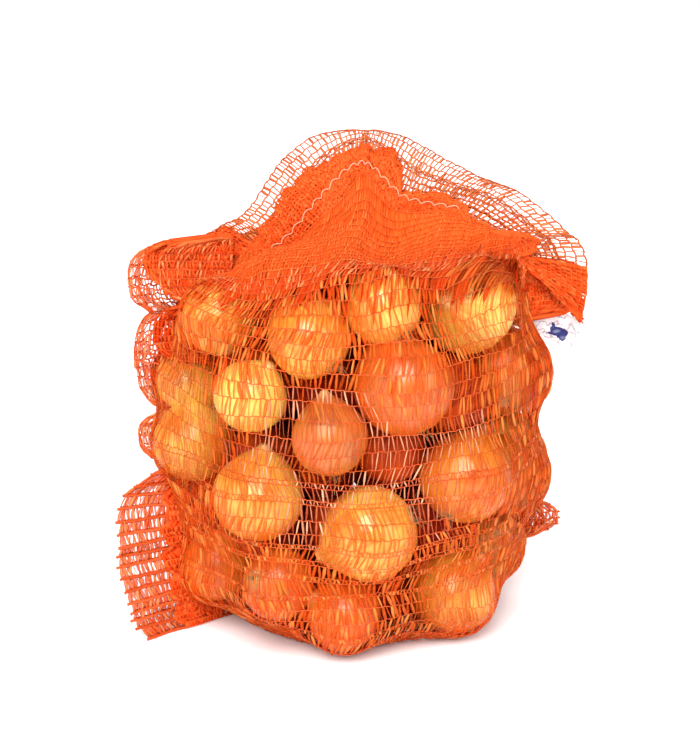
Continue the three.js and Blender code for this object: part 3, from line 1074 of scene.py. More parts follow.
@dataclass
class TightNet(NetPatch):
    """The net pulled tight over the onions, from the middle of the base up to the seam.

    A clear spot of the film is given by its turn, how far it reaches round, its height and how far it
    reaches up.
    """

    belly: Belly
    seam: Seam
    heap: OnionHeap
    columns: int = 336
    base_rows: int = 16
    side_rows: int = 88
    side_crowding: float = 0.55
    top_rows: int = 56
    net_on_onion: float = 1.0
    seam_half_thickness: float = 0.8
    shoulder_pull: float = 0.4
    seam_spread: float = 0.35
    seam_drop: float = 0.3
    pull_steps: int = 128
    pull_around: float = 0.42
    pull_upward: float = 0.08
    gathers: int = 46
    gather_depth: float = 0.9
    gather_waves: Waves = ((1.7, 5.0, 0.0, 0.0), (1.1, 9.0, 0.0, 1.0))
    gather_growth: float = 1.5
    gather_end: float = 8.0
    sway: float = 1.1
    sway_waves: Waves = ((1.0, 4 * FULL_TURN, 0.09, 0.0), (0.6, 9 * FULL_TURN, -0.13, 2.0))
    crowding: tuple[tuple[float, float], ...] = (
        (0.0, 0.75),
        (0.12, 0.64),
        (0.2, 0.68),
        (0.26, 0.76),
        (0.34, 1.5),
        (0.41, 5.0),
        (0.455, 2.2),
        (0.5, 1.0),
        (0.85, 1.0),
    )
    clear_spots: tuple[tuple[float, float, float, float], ...] = (
        (0.26, 0.13, 120.0, 52.0),
        (0.40, 0.06, 196.0, 26.0),
        (0.085, 0.06, 143.0, 22.0),
        (0.09, 0.055, 108.0, 18.0),
        (0.162, 0.02, 52.0, 8.0),
        (0.345, 0.035, 28.0, 14.0),
    )
    broadening: float = 0.6
    closed = True
    points: Array = field(init=False)
    normals: Array = field(init=False)
    lengths: Array = field(init=False)
    heights: Array = field(init=False)
    gaps: Array = field(init=False)

    def __post_init__(self) -> None:
        """Work out the whole surface as a grid of points."""
        turn = FULL_TURN * np.arange(self.columns) / self.columns
        slack = np.concatenate([self.base(turn), self.sides(turn), self.slope(turn)])
        outward = self.facing(slack)
        outward[: self.base_rows] = (0.0, 0.0, -1.0)
        pushed = self.push(slack, outward)
        pushed[: self.base_rows] = 0.0
        pushed[-1] = 0.0
        out = self.pull(pushed)
        out[self.base_rows + self.side_rows :] += self.gather(turn)
        self.points = slack + outward * out[..., None]
        self.points[..., 2] = np.maximum(self.points[..., 2], 0.0)
        self.normals = self.facing(self.points)
        self.normals[: self.base_rows] = (0.0, 0.0, -1.0)
        steps = np.linalg.norm(np.diff(self.points, axis=0), axis=-1).mean(axis=1)
        self.lengths = np.concatenate([[0.0], np.cumsum(steps)])
        self.heights = self.points[..., 2].mean(axis=1)
        self.gaps = np.full(self.points.shape[:2], np.inf)
        for middle, radius in zip(self.heap.middles, self.heap.radii):
            self.gaps = np.minimum(self.gaps, np.linalg.norm(self.points - middle, axis=-1) - radius)

    def base(self, turn: Array) -> Array:
        """Give the rows of the flat base, from the inside out."""
        share = self.belly.share(0.0) * np.arange(1, self.base_rows + 1) / self.base_rows
        return self.belly.round(turn[None, :], share[:, None], np.zeros((self.base_rows, 1)))

    def sides(self, turn: Array) -> Array:
        """Give the rows of the belly, from the base to the shoulder.

        Args:
            turn: The turns of a row's points.

        Returns:
            The points, row by row.
        """
        rise = np.arange(1, self.side_rows + 1) / self.side_rows
        height = self.belly.shoulder * rise * (1.0 - self.side_crowding * (1.0 - rise))
        return self.belly.round(turn[None, :], self.belly.share(height)[:, None], height[:, None])

    def slope(self, turn: Array) -> Array:
        """Give the rows from the shoulder to the seam.

        Args:
            turn: The turns of a row's points.

        Returns:
            The points, row by row.
        """
        top = self.belly.shoulder
        shoulder = self.belly.round(turn, self.belly.share(top), top)
        below = self.belly.round(turn, self.belly.share(top - 1.0), top - 1.0)
        seam = self.seam.point((1.0 - np.cos(turn)) / 2)
        seam[:, 1] -= self.seam_half_thickness * np.sin(turn)
        run = np.linalg.norm(seam - shoulder, axis=-1, keepdims=True)
        start = shoulder + unit(shoulder - below) * self.shoulder_pull * run
        end = seam.copy()
        end[:, 1] -= self.seam_spread * run[:, 0] * np.sin(turn)
        end[:, 2] -= self.seam_drop * run[:, 0]
        t = (np.arange(1, self.top_rows + 1) / self.top_rows)[:, None, None]
        near = (1 - t) ** 3 * shoulder + 3 * t * (1 - t) ** 2 * start
        return near + 3 * t * t * (1 - t) * end + t**3 * seam

    @staticmethod
    def facing(grid: Array) -> Array:
        """Give the directions that face out of a grid of points.

        Args:
            grid: The points, row by row.

        Returns:
            A direction for each point.
        """
        around = np.roll(grid, -1, axis=1) - np.roll(grid, 1, axis=1)
        upward = np.gradient(grid, axis=0)
        return unit(np.cross(around, upward))

    def push(self, slack: Array, outward: Array) -> Array:
        """Work out how far the outermost onion reaches along each line out of the slack net.

        Args:
            slack: The slack net's points.
            outward: The directions out of it.

        Returns:
            The reach, or 0 where no onion lies on the line.
        """
        reach = np.zeros(slack.shape[:2])
        for middle, radius in zip(self.heap.middles, self.heap.radii):
            to = middle - slack
            nearest = np.sum(to * outward, axis=-1)
            room = (radius + self.net_on_onion) ** 2 - (np.sum(to * to, axis=-1) - nearest**2)
            hit = nearest + np.sqrt(np.maximum(room, 0.0))
            reach = np.where(room > 0.0, np.maximum(reach, hit), reach)
        return reach

    def pull(self, pushed: Array) -> Array:
        """Pull the net tight between the onions.

        Args:
            pushed: How far the onions reach.

        Returns:
            How far the net lies out from the slack net.
        """
        out = pushed.copy()
        free = slice(self.base_rows, -1)
        for _ in range(self.pull_steps):
            sides = np.roll(out, 1, axis=1) + np.roll(out, -1, axis=1)
            ends = np.zeros_like(out)
            ends[1:-1] = out[:-2] + out[2:]
            drawn = self.pull_around * sides + self.pull_upward * ends
            out[free] = np.maximum(pushed[free], drawn[free])
        return out

    def gather(self, turn: Array) -> Array:
        """Give the folds that run down from the seam, deepest near it.

        Args:
            turn: The turns of a row's points.

        Returns:
            How far the folds stand out, for the rows from the shoulder to the seam.
        """
        near = (np.arange(1, self.top_rows + 1) / self.top_rows)[:, None]
        beat = self.gathers * turn + ripple(turn, self.gather_waves)
        depth = self.gather_depth * near**self.gather_growth * (1.0 - near**self.gather_end)
        return depth * np.sin(beat)[None, :]

    def crowd(self, row: Array, column: Array) -> Array:
        """Crowd the rows above the shoulder towards the seam, most of all over the onion at the top right.

        Args:
            row: The place in the stack of rows.
            column: The place round the sack.

        Returns:
            The place in the stack where the crowded row lies.
        """
        turns, powers = zip(*self.crowding)
        power = np.interp(column / self.columns, turns, powers, period=1.0)
        shoulder_row = self.base_rows + self.side_rows - 1
        share = np.clip((row - shoulder_row) / self.top_rows, 0.0, 1.0)
        crowded = shoulder_row + self.top_rows * (1.0 - (1.0 - share) ** power)
        return np.where(row > shoulder_row, crowded, row)

    def slope_place(self, share: float) -> float:
        """Give the place in the stack at a share of the way from the shoulder to the seam."""
        row = self.base_rows + self.side_rows - 1 + share * self.top_rows
        return float(np.interp(row, np.arange(len(self.lengths)), self.lengths))

    def clearing(self, across: Array, up: Array, spots: int | None = None) -> Array:
        """Give how clear the film is: 1 in the middle of each clear spot, less all round it.

        Args:
            across: The share of the way along a chain.
            up: The place in the stack of chains.
            spots: How many of the spots count, or all of them.

        Returns:
            A share for each place.
        """
        height = np.interp(up, self.lengths, self.heights)
        found = np.zeros(np.broadcast(across, up).shape)
        for turn, reach, middle, rise in self.clear_spots[:spots]:
            aside = (across % 1.0 - turn) / reach
            found = np.maximum(found, np.exp(-(aside**2) - ((height - middle) / rise) ** 2))
        return found

    def breadth(self, across: Array, up: Array) -> Array:
        """Give how broad the film is: narrow over the middle of the front, broader all round it."""
        broad = 1.0 + self.broadening * (1.0 - self.clearing(across, up))
        return np.where(np.interp(up, self.lengths, self.heights) < self.belly.shoulder, broad, 1.0)

    def height_at(self, up: float) -> float:
        """Give the mean height of the chain at a place in the stack."""
        return float(np.interp(up, self.lengths, self.heights))

    def grid_place(self, across: Array, up: Array) -> tuple[Array, Array]:
        """Find a place of the net in the grid.

        Args:
            across: The turn, as a share.
            up: The distance up from the middle of the base.

        Returns:
            The row and the column.
        """
        sway = ripple(across, self.sway_waves, up)
        row = np.interp(up + self.sway * sway, self.lengths, np.arange(len(self.lengths)))
        column = (across % 1.0) * self.columns
        return self.crowd(row, column), column

    def clearance(self, across: Array, up: Array) -> Array:
        """Give how far the net hangs off the nearest onion, at the nearest point of the grid."""
        row, column = self.grid_place(across, up)
        return self.gaps[np.rint(row).astype(int), np.rint(column).astype(int) % self.columns]

    def spread(self, across: Array, up: Array) -> tuple[Array, Array]:
        """Give points of the net.

        Args:
            across: The turn, as a share.
            up: The distance up from the middle of the base.

        Returns:
            The points and the directions that face out of the net there.
        """
        row, column = self.grid_place(across, up)
        low = np.minimum(row.astype(int), len(self.lengths) - 2)
        lift = (row - low)[..., None]
        left = column.astype(int) % self.columns
        right = (left + 1) % self.columns
        aside = (column - np.floor(column))[..., None]
        found = []
        for grid in (self.points, self.normals):
            lower = grid[low, left] * (1 - aside) + grid[low, right] * aside
            upper = grid[low + 1, left] * (1 - aside) + grid[low + 1, right] * aside
            found.append(lower * (1 - lift) + upper * lift)
        return found[0], unit(found[1])


@dataclass
class Lining(NetPatch):
    """A second layer of net that lies under the tight one, between two turns."""

    outer: TightNet
    depth: float
    first: float
    last: float

    def spread(self, across: Array, up: Array) -> tuple[Array, Array]:
        """Give points a little inside the outer layer."""
        points, normals = self.outer.spread(self.first + (self.last - self.first) * across, up)
        return points - normals * self.depth, normals


@dataclass
class MouthFrill(NetPatch):
    """One layer of the frill above the seam, which fans out and leans back in waves.

    Its widths, and its fans and leans in degrees, are spaced evenly along the seam.
    """

    seam: Seam
    offset: float
    wave_shift: float
    first: float = 0.0
    last: float = 1.0
    reach: float = 1.0
    taper: float = 0.0
    raggedness: float = 0.0
    widths: tuple[float, ...] = (27, 33, 36, 36, 42, 36, 37, 46)
    fans: tuple[float, ...] = (-84, -56, -50, 4, 28, 55, 90, 138)
    leans: tuple[float, ...] = (40, 40, 35, 62, 45, 60, 58, 12)
    wave: float = 5.0
    waves: float = 4.5
    crumple: float = 1.2
    crumples: float = 17.0
    crumple_drift: float = 3.0
    root: float = 5.0
    tapered_within: tuple[float, float] = (0.02, 0.98)
    ragged_waves: Waves = ((0.6, 90.0, 0.0, 0.0), (0.4, 210.0, 0.0, 1.3))
    step_along: float = 0.004
    step_out: float = 0.02
    unit_height = 36.0

    def place(self, share: Array, up: Array) -> Array:
        """Give points of the layer.

        Args:
            share: The share of the way along the seam.
            up: The share of the layer's width.

        Returns:
            The points.
        """
        fan = np.radians(eased(self.fans, share))
        far = up * self.reach
        lean = np.radians(eased(self.leans, share)) * far
        wave = self.wave * far * np.sin(FULL_TURN * self.waves * share)
        beat = FULL_TURN * self.crumples * share + self.wave_shift + self.crumple_drift * far
        small = self.crumple * far * np.sin(beat)
        reach = eased(self.widths, share) * far
        rise = reach * np.cos(fan)
        drop = self.root * (1.0 - far) ** 2
        deep = rise * np.sin(lean) + wave + small + self.offset
        step = np.stack([reach * np.sin(fan), deep, rise * np.cos(lean) - drop], axis=-1)
        return self.seam.point(share) + step

    def spread(self, across: Array, up: Array) -> tuple[Array, Array]:
        """Give points of the layer.

        Args:
            across: The share of the way along the layer.
            up: The share of its width.

        Returns:
            The points and the way the front faces there.
        """
        share = self.first + (self.last - self.first) * across
        taper = np.sin(math.pi * np.clip(across, *self.tapered_within)) ** self.taper
        up = up * taper * (1.0 + self.raggedness * ripple(share, self.ragged_waves))
        after = np.minimum(share + self.step_along, 1.0)
        before = np.maximum(share - self.step_along, 0.0)
        along = self.place(after, up) - self.place(before, up)
        out = self.place(share, up + self.step_out) - self.place(share, up - self.step_out)
        return self.place(share, up), unit(np.cross(along, out))


@dataclass
class SideFlap(NetPatch):
    """Loose net along a side, whose outer edge runs in lobes.

    It is given by where its root stands, the ways it heads at the floor and higher up, in degrees, and the
    height, half height and reach of each lobe.
    """

    root: tuple[float, float]
    heading: tuple[float, float]
    lobes: tuple[tuple[float, float, float], ...]
    lobe_squareness: float = 3.0
    straight_above: float = 150.0
    wave: float = 3.0
    wave_length: float = 34.0
    crumple: float = 1.6
    crumple_length: float = 13.0
    crumple_drift: float = 7.0
    crumple_patches: Waves = ((1.0, 5.0, 0.11, 0.0),)
    lowest: float = 1.2
    hem: float = 0.1

    def ends(self) -> tuple[float, float]:
        """Find where the flap's chains begin and end.

        Returns:
            The lowest and highest height of the lobes, less a hem.
        """
        low = min(up - half for up, half, _ in self.lobes)
        high = max(up + half for up, half, _ in self.lobes)
        return max(low + self.hem, self.lowest), high - self.hem

    def edge(self, height: Array) -> Array:
        """Give how far the net reaches.

        Args:
            height: The height above the floor.

        Returns:
            The reach of the lobe there.
        """
        found = np.zeros_like(height)
        for up, half, width in self.lobes:
            off = np.minimum(np.abs(height - up) / half, 1.0)
            reach = width * (1.0 - off**self.lobe_squareness) ** (1.0 / self.lobe_squareness)
            found = np.maximum(found, reach)
        return found

    def lay(self, share: Array, aside: Array, up: Array) -> tuple[Array, Array, Array]:
        """Give points by the share of the reach, the distance aside of the flap's middle, and height.

        Args:
            share: The share of the reach.
            aside: The distance to the back of the flap's middle sheet.
            up: The height.

        Returns:
            The points, the way the flap heads, and the way to its back.
        """
        straight = smooth_step(up / self.straight_above)
        turn = np.radians(self.heading[0] + (self.heading[1] - self.heading[0]) * straight)
        ahead = np.stack([-np.cos(turn), -np.sin(turn), np.zeros_like(turn)], axis=-1)
        back = np.stack([ahead[..., 1], -ahead[..., 0], np.zeros_like(turn)], axis=-1)
        start = np.stack(np.broadcast_arrays(self.root[0], self.root[1], up), axis=-1)
        crumple = np.sin(FULL_TURN * up / self.crumple_length + self.crumple_drift * share)
        crumple = crumple * ripple(share, self.crumple_patches, up)
        wave = self.wave * np.sin(FULL_TURN * up / self.wave_length) + self.crumple * crumple
        bent = wave * share + aside
        return start + ahead * (self.edge(up) * share)[..., None] + back * bent[..., None], ahead, back


@dataclass
class FlapLayer(SideFlap):
    """One flat layer of a flap, with a cut edge."""

    offset: float = 0.0
    first: float = 0.0
    last: float = 1.0
    raggedness: float = 0.0
    ragged_waves: Waves = ((0.6, 0.37, 1.0, 0.0), (0.4, 0.83, 0.0, 1.3))

    def spread(self, across: Array, up: Array) -> tuple[Array, Array]:
        """Give points from the first to the last share of the reach.

        Args:
            across: The share of the way between them.
            up: The height.

        Returns:
            The points and the way the front faces there.
        """
        ragged = ripple(up, self.ragged_waves, self.offset)
        share = self.first + (self.last + self.raggedness * ragged - self.first) * across
        points, _, back = self.lay(share, np.full_like(share, self.offset), up)
        return points, -back


@dataclass
class FlapPouch(SideFlap):
    """A flap that is folded over at its edge and stands open as a pouch."""

    offset: float = 0.0
    hollow: float = 0.13
    edge_crowding: float = 1.5
    closed_root: float = 0.4

    def spread(self, across: Array, up: Array) -> tuple[Array, Array]:
        """Give points from the front root round the fold to the back root.

        Args:
            across: The share of the way round.
            up: The height.

        Returns:
            The points and the directions that face out of the pouch there.
        """
        off = 2.0 * across - 1.0
        share = 1.0 - np.minimum(np.abs(off), 1.0) ** self.edge_crowding
        swell = np.sqrt(1.0 - share**2) * smooth_step(share / self.closed_root) * np.sign(off)
        points, ahead, back = self.lay(share, self.offset + swell * self.hollow * self.edge(up), up)
        return points, unit(back * np.sign(off)[..., None] + ahead * share[..., None])


@dataclass
class BellyFilm:
    """The tapes of the belly by how they look: clear, free over a gap in a paler colour that paints glints
    on them, or a veil.
    """

    clear: MeshParts = field(default_factory=MeshParts)
    free: MeshParts = field(default_factory=MeshParts)
    veil: MeshParts = field(default_factory=MeshParts)


@dataclass
class Knit:
    """What lays chains across a stretch of net, and flat tapes that zigzag between them."""

    chain_step: float = 1.6
    chain_beat: int = 4
    knot: float = 1.35
    flatness: float = 0.8
    wobble: float = 0.2
    jitter: float = 0.28
    fringe_spread: tuple[float, float] = (0.2, 1.0)
    lean_waves: Waves = ((1.0, 3 * FULL_TURN, 0.11, 0.0), (0.6, 7 * FULL_TURN, -0.19, 0.0))
    tape_waist: float = 0.7
    tape_spread: tuple[float, float] = (0.55, 1.5)
    chain_tone: tuple[float, float] = (0.2, 1.0)
    milkiness: float = 2.0
    free_above: float = 4.5
    free_within: float = 0.4
    free_narrowing: float = 0.65
    veil_below: tuple[float, float] = (0.08, 0.6)
    chance: np.random.Generator = field(default_factory=lambda: np.random.default_rng(SEED + 3))

    def chain(self, parts: MeshParts, patch: NetPatch, up: float, gauge: Gauge, fringe: float = 0.0) -> None:
        """Add one chain with its knots.

        Args:
            parts: The mesh that takes it.
            patch: The stretch of net.
            up: The chain's place in the stack.
            gauge: How the net is knitted there.
            fringe: The most that a cut end sticks out past the edge, as a share of the chain.
        """
        beats = max(1, round(patch.chain_length(up) / (self.chain_beat * self.chain_step)))
        steps = self.chain_beat * beats
        if patch.closed:
            across = np.arange(steps) / steps
        else:
            across = np.linspace(0.0, 1.0 + fringe * self.chance.uniform(*self.fringe_spread), steps + 1)
        wobble = self.chance.uniform(-self.wobble, self.wobble, len(across))
        wobble += gauge.scallop * np.sin(np.arange(len(across)) * FULL_TURN / self.chain_beat)
        points, normals = patch.spread(across, up + wobble / patch.unit_height)
        swell = np.where(np.arange(len(across)) % 2 == 0, self.knot, 1.0)
        radius = gauge.chain_radius * swell[None]
        tone = self.chance.uniform(*self.chain_tone, 1)
        flat = radius * self.flatness
        parts.add_strands(points[None], normals[None], radius, flat, np.zeros(1), tone, patch.closed)

    def zigzag(self, patch: NetPatch, low: float, high: float, gauge: Gauge) -> tuple[Array, ...]:
        """Work out the zigzag of tape between two chains.

        Args:
            patch: The stretch of net.
            low: The lower chain's place.
            high: The upper chain's place.
            gauge: How the net is knitted there.

        Returns:
            What a mesh needs for its strands, and then the place of each along the chain.
        """
        legs = max(2, 2 * round(patch.chain_length((low + high) / 2) / (2 * gauge.pitch)))
        turns = (np.arange(legs + 1) + self.chance.uniform(-self.jitter, self.jitter, legs + 1)) / legs
        turns[-1] = 1.0 + turns[0]
        if not patch.closed:
            turns[0], turns[-1] = 0.0, 1.0
        share = np.linspace(0.0, 1.0, gauge.stations)
        inside = gauge.inset + (1.0 - 2.0 * gauge.inset) * share
        across = turns[:-1, None] + (turns[1:] - turns[:-1])[:, None] * inside
        rising = np.arange(legs)[:, None] % 2 == 0
        climb = np.where(rising, share, 1.0 - share)
        beat = ripple(turns[:-1], self.lean_waves, low)
        across = across + gauge.lean * beat[:, None] * (climb - 0.5) / legs
        points, normals = patch.spread(across, low + (high - low) * climb)
        broad = gauge.tape_half_width * self.chance.uniform(*self.tape_spread, (legs, 1))
        broad *= patch.breadth(turns[:-1], np.full(legs, low))[:, None]
        widths = broad * (self.tape_waist + (1.0 - self.tape_waist) * np.sin(math.pi * share))
        thicks = np.full_like(widths, gauge.tape_half_thickness)
        twist = self.chance.normal(0.0, gauge.twist, legs)
        tone = self.chance.uniform(0.0, 1.0, legs) ** self.milkiness
        return points, normals, widths, thicks, twist, tone, turns[:-1]

    def tapes(self, parts: MeshParts, patch: NetPatch, low: float, high: float, gauge: Gauge) -> None:
        """Add the zigzag of tape between two chains.

        Args:
            parts: The mesh that takes it.
            patch: The stretch of net.
            low: The lower chain's place.
            high: The upper chain's place.
            gauge: How the net is knitted there.
        """
        parts.add_strands(*self.zigzag(patch, low, high, gauge)[:-1])

    def belly_tapes(self, film: BellyFilm, net: TightNet, low: float, high: float, gauge: Gauge) -> None:
        """Add the zigzag between two chains of the belly, sorted by how each tape looks.

        Args:
            film: The meshes that take it.
            net: The net over the onions.
            low: The lower chain's place.
            high: The upper chain's place.
            gauge: How the net is knitted there.
        """
        *strands, turns = self.zigzag(net, low, high, gauge)
        middle = np.full(len(turns), (low + high) / 2)
        veil = net.clearing(turns, middle) < self.chance.uniform(*self.veil_below, len(turns))
        central = net.clearing(turns, middle, spots=1) > self.free_within
        free = ~veil & central & (net.clearance(turns, middle) > self.free_above)
        strands[2][free] *= self.free_narrowing
        for parts, chosen in ((film.veil, veil), (film.free, free), (film.clear, ~(veil | free))):
            parts.add_strands(*(values[chosen] for values in strands))

    def cover(
        self,
        tapes: MeshParts,
        chains: MeshParts,
        patch: NetPatch,
        ends: tuple[float, float],
        gauge: Gauge,
        fringe: float = 0.0,
    ) -> None:
        """Knit a whole patch with evenly spaced chains.

        Args:
            tapes: The mesh that takes the tapes.
            chains: The mesh that takes the chains.
            patch: The stretch of net.
            ends: The places of the first and last chains.
            gauge: How it is knitted.
            fringe: The most that a chain's cut end sticks out past the edge, as a share of the chain.
        """
        gaps = max(2, round((ends[1] - ends[0]) * patch.unit_height / gauge.spacing))
        places = [float(place) for place in np.linspace(ends[0], ends[1], gaps + 1)]
        for low, high in zip(places[:-1], places[1:]):
            self.tapes(tapes, patch, low, high, gauge)
        for place in places:
            self.chain(chains, patch, place, gauge, fringe)


@dataclass
class SackNet:
    """The whole net: the tight part over the onions, the frill at the mouth and the loose sides.

    A fold of the frill is given by the shares of the seam where it starts and ends, and its share of the
    width. The back of the frill and each layer of a fold are given by their offset, the shift of their
    waves and their share of the reach, a layer of a fold by its raggedness too.
    """

    tight: TightNet
    seam: Seam
    knit: Knit
    finishes: NetFinishes
    spacing_spread: float = 0.2
    innermost: float = 8.0
    ladders_below: float = 75.0
    ladders_low: float = 0.6
    ladders_high: float = 0.15
    eased_above: float = 0.04
    slack_above: float = 0.26
    gathered_above: float = 0.46
    lining_depth: float = 0.6
    doubled: tuple[tuple[float, float], ...] = ((-0.05, 0.02), (0.45, 0.56))
    sheet_from: float = 0.02
    sheet_teeth: float = 34.0
    sheet_depth: float = 0.7
    sheet_lightening: float = 1.6
    sheet_unevenness: float = 0.3
    sheet_columns: int = 520
    sheet_rows: int = 24
    lined_below: float = 84.0
    left_root: tuple[float, float] = (-66.0, -12.0)
    left_heading: tuple[float, float] = (37.0, 0.0)
    ear_lobe: tuple[tuple[float, float, float], ...] = ((42, 56, 75),)
    pouch_lobes: tuple[tuple[float, float, float], ...] = ((110, 17, 56), (155, 35, 58), (201, 24, 60))
    band_lobe: tuple[tuple[float, float, float], ...] = ((213, 15, 50),)
    shoulder_lobe: tuple[tuple[float, float, float], ...] = ((211, 19, 42),)
    crease_lobe: tuple[tuple[float, float, float], ...] = ((174, 18, 46),)
    right_root: tuple[float, float] = (80.0, 20.0)
    right_heading: tuple[float, float] = (200.0, 200.0)
    right_lobe: tuple[tuple[float, float, float], ...] = ((42, 13, 47),)
    mouth_root: tuple[float, float] = (84.0, 6.0)
    mouth_lobe: tuple[tuple[float, float, float], ...] = ((191, 18, 52),)
    frill_folds: tuple[tuple[float, float, float], ...] = (
        (0.04, 0.43, 0.58),
        (0.26, 0.58, 0.42),
        (0.44, 0.57, 0.54),
        (0.53, 0.76, 0.34),
        (0.8, 0.92, 0.4),
    )
    front_frill_offset: float = -0.8
    back_frill: tuple[float, float, float] = (0.9, 1.9, 0.6)
    fold_layers: tuple[tuple[float, float, float, float], ...] = (
        (-2.6, 0.4, 1.0, 0.08),
        (-1.8, 0.0, 1.12, 0.1),
    )
    fold_taper: float = 0.6
    end_layers: int = 3
    end_gap: float = 1.2
    end_offset: float = -2.2
    left_end: float = 0.1
    left_reach: float = 0.95
    left_shift: float = 1.1
    right_end: float = 0.92
    right_shortening: float = 0.06
    right_shift: float = 1.3
    ear_fold_gap: float = 1.3
    ear_fold_offset: float = -1.8
    ear_fold_span: tuple[float, float] = (0.2, 0.62)
    ear_fold_shortening: float = 0.04
    ear_fold_raggedness: float = 0.05
    tuck_offset: float = -1.2
    fringe: float = 0.025

    def stretch_at(self, place: float, last: Stretch, chance: np.random.Generator) -> Stretch:
        """Choose how far the net is pulled open above a chain.

        Args:
            place: The chain's place in the stack.
            last: How the net is pulled below it.
            chance: The seeded source of unevenness.

        Returns:
            The stretch.
        """
        if place > self.tight.slope_place(self.gathered_above):
            return Stretch.GATHERED
        if place > self.tight.slope_place(self.slack_above):
            return Stretch.SLACK
        if place > self.tight.slope_place(self.eased_above):
            return Stretch.EASED
        height = self.tight.height_at(place)
        likely = self.ladders_low if height < self.ladders_below else self.ladders_high
        if last is Stretch.OPEN and chance.random() < likely:
            return Stretch.LADDER
        return Stretch.OPEN

    def rows(self) -> list[tuple[float, Stretch]]:
        """Choose where the chains of the tight net lie, by the distance up from the middle of the base.

        Returns:
            The places from the base to the seam, each with how the net is pulled above it.
        """
        chance = np.random.default_rng(SEED + 4)
        end = float(self.tight.lengths[-1])
        place = self.innermost
        stretch = Stretch.LADDER
        rows: list[tuple[float, Stretch]] = []
        while place < end:
            stretch = self.stretch_at(place, stretch, chance)
            rows.append((place, stretch))
            uneven = chance.uniform(-self.spacing_spread, self.spacing_spread)
            place += stretch.value.spacing * (1.0 + uneven)
        rows.append((end, Stretch.GATHERED))
        return rows

    def build_tight(self, chains: MeshParts) -> list[bpy.types.Object]:
        """Knit the net over the onions, double on the base and sides, with a sheet where it is gathered.

        Args:
            chains: The mesh that takes the chains of the open net.

        Returns:
            The pieces of tape and sheet.
        """
        rows = self.rows()
        film = BellyFilm()
        slack, gathered, lining = MeshParts(), MeshParts(), MeshParts()
        whole = Lining(self.tight, self.lining_depth, 0.0, 1.0)
        strips = [Lining(self.tight, self.lining_depth, first, last) for first, last in self.doubled]
        for (low, stretch), (high, _) in zip(rows[:-1], rows[1:]):
            if stretch in (Stretch.SLACK, Stretch.GATHERED):
                holder = slack if stretch is Stretch.SLACK else gathered
                self.knit.tapes(holder, self.tight, low, high, stretch.value)
            else:
                self.knit.belly_tapes(film, self.tight, low, high, stretch.value)
            if high < self.lined_below:
                self.knit.tapes(lining, whole, low, high, Stretch.SLACK.value)
                continue
            for layer in strips:
                self.knit.tapes(lining, layer, low, high, Stretch.POUCH.value)
        sheet = MeshParts()
        self.add_sheet(sheet)
        for place, stretch in rows:
            holder = gathered if stretch is Stretch.GATHERED else chains
            self.knit.chain(holder, self.tight, place, stretch.value)
        return [
            film.clear.make("net_clear_tapes", self.finishes.film.material()),
            film.free.make("net_free_tapes", self.finishes.glint_painted_free_film.material()),
            film.veil.make("net_veil_tapes", self.finishes.veil.material()),
            slack.make("net_slack_tapes", self.finishes.flap.material()),
            gathered.make("net_gathered_top", self.finishes.gathered.material()),
            # The lining in the darker copy of the net's colour: painted shade.
            lining.make("net_lining", self.finishes.under.material()),
            # The gathered sheet in the same darker copy of the net's colour: painted shade.
            sheet.make("net_gathered_sheet", self.finishes.under.material()),
        ]

    def add_sheet(self, parts: MeshParts) -> None:
        """Add the closed sheet that the gathered net forms under its tapes, ragged along its lower edge.

        Args:
            parts: The mesh that takes it.
        """
        chance = np.random.default_rng(SEED + 5)
        across = np.arange(self.sheet_columns) / self.sheet_columns
        teeth = chance.uniform(0.0, self.sheet_teeth, self.sheet_columns)
        low = self.tight.slope_place(self.sheet_from) + teeth
        up = np.linspace(low, np.full_like(low, self.tight.lengths[-1]), self.sheet_rows)
        points, normals = self.tight.spread(np.broadcast_to(across, up.shape), up)
        points = points - self.sheet_depth * normals
        number = np.arange(up.size).reshape(up.shape)
        after = np.roll(number, -1, axis=1)
        faces = np.stack([number[:-1], after[:-1], after[1:], number[1:]], axis=-1).reshape(-1, 4)
        # The sheet's tone rises from dark at its ragged lower edge to light near the seam.
        rise = np.linspace(0.0, self.sheet_lightening, self.sheet_rows)[:, None]
        uneven = chance.uniform(-self.sheet_unevenness, self.sheet_unevenness, self.sheet_columns)
        tone = np.clip(rise + uneven, 0.0, 1.0)
        parts.add(points.reshape(-1, 3), [faces], tone.ravel())

    def frill(self) -> MouthFrill:
        """Give the front layer of the frill."""
        return MouthFrill(self.seam, self.front_frill_offset, wave_shift=0.0)

    def frill_layers(self) -> list[tuple[MouthFrill, Stretch]]:
        """Give the layers of the frill: the front, a shorter back, and the folds.

        Returns:
            The layers, each with how it is knitted.
        """
        offset, shift, reach = self.back_frill
        back = MouthFrill(self.seam, offset, shift, reach=reach)
        layers = [(self.frill(), Stretch.FRILL), (back, Stretch.FRILL)]
        for first, last, reach in self.frill_folds:
            for offset, shift, share, raggedness in self.fold_layers:
                form = (first, last, share * reach, self.fold_taper, raggedness)
                layers.append((MouthFrill(self.seam, offset, shift, *form), Stretch.DENSE))
        for k in range(self.end_layers):
            offset = self.end_gap * k + self.end_offset
            reach = self.left_reach
            left = MouthFrill(self.seam, offset, self.left_shift * k, last=self.left_end, reach=reach)
            reach = 1.0 - self.right_shortening * k
            right = MouthFrill(self.seam, offset, self.right_shift * k, first=self.right_end, reach=reach)
            layers += [(left, Stretch.DENSE), (right, Stretch.DENSE)]
        return layers

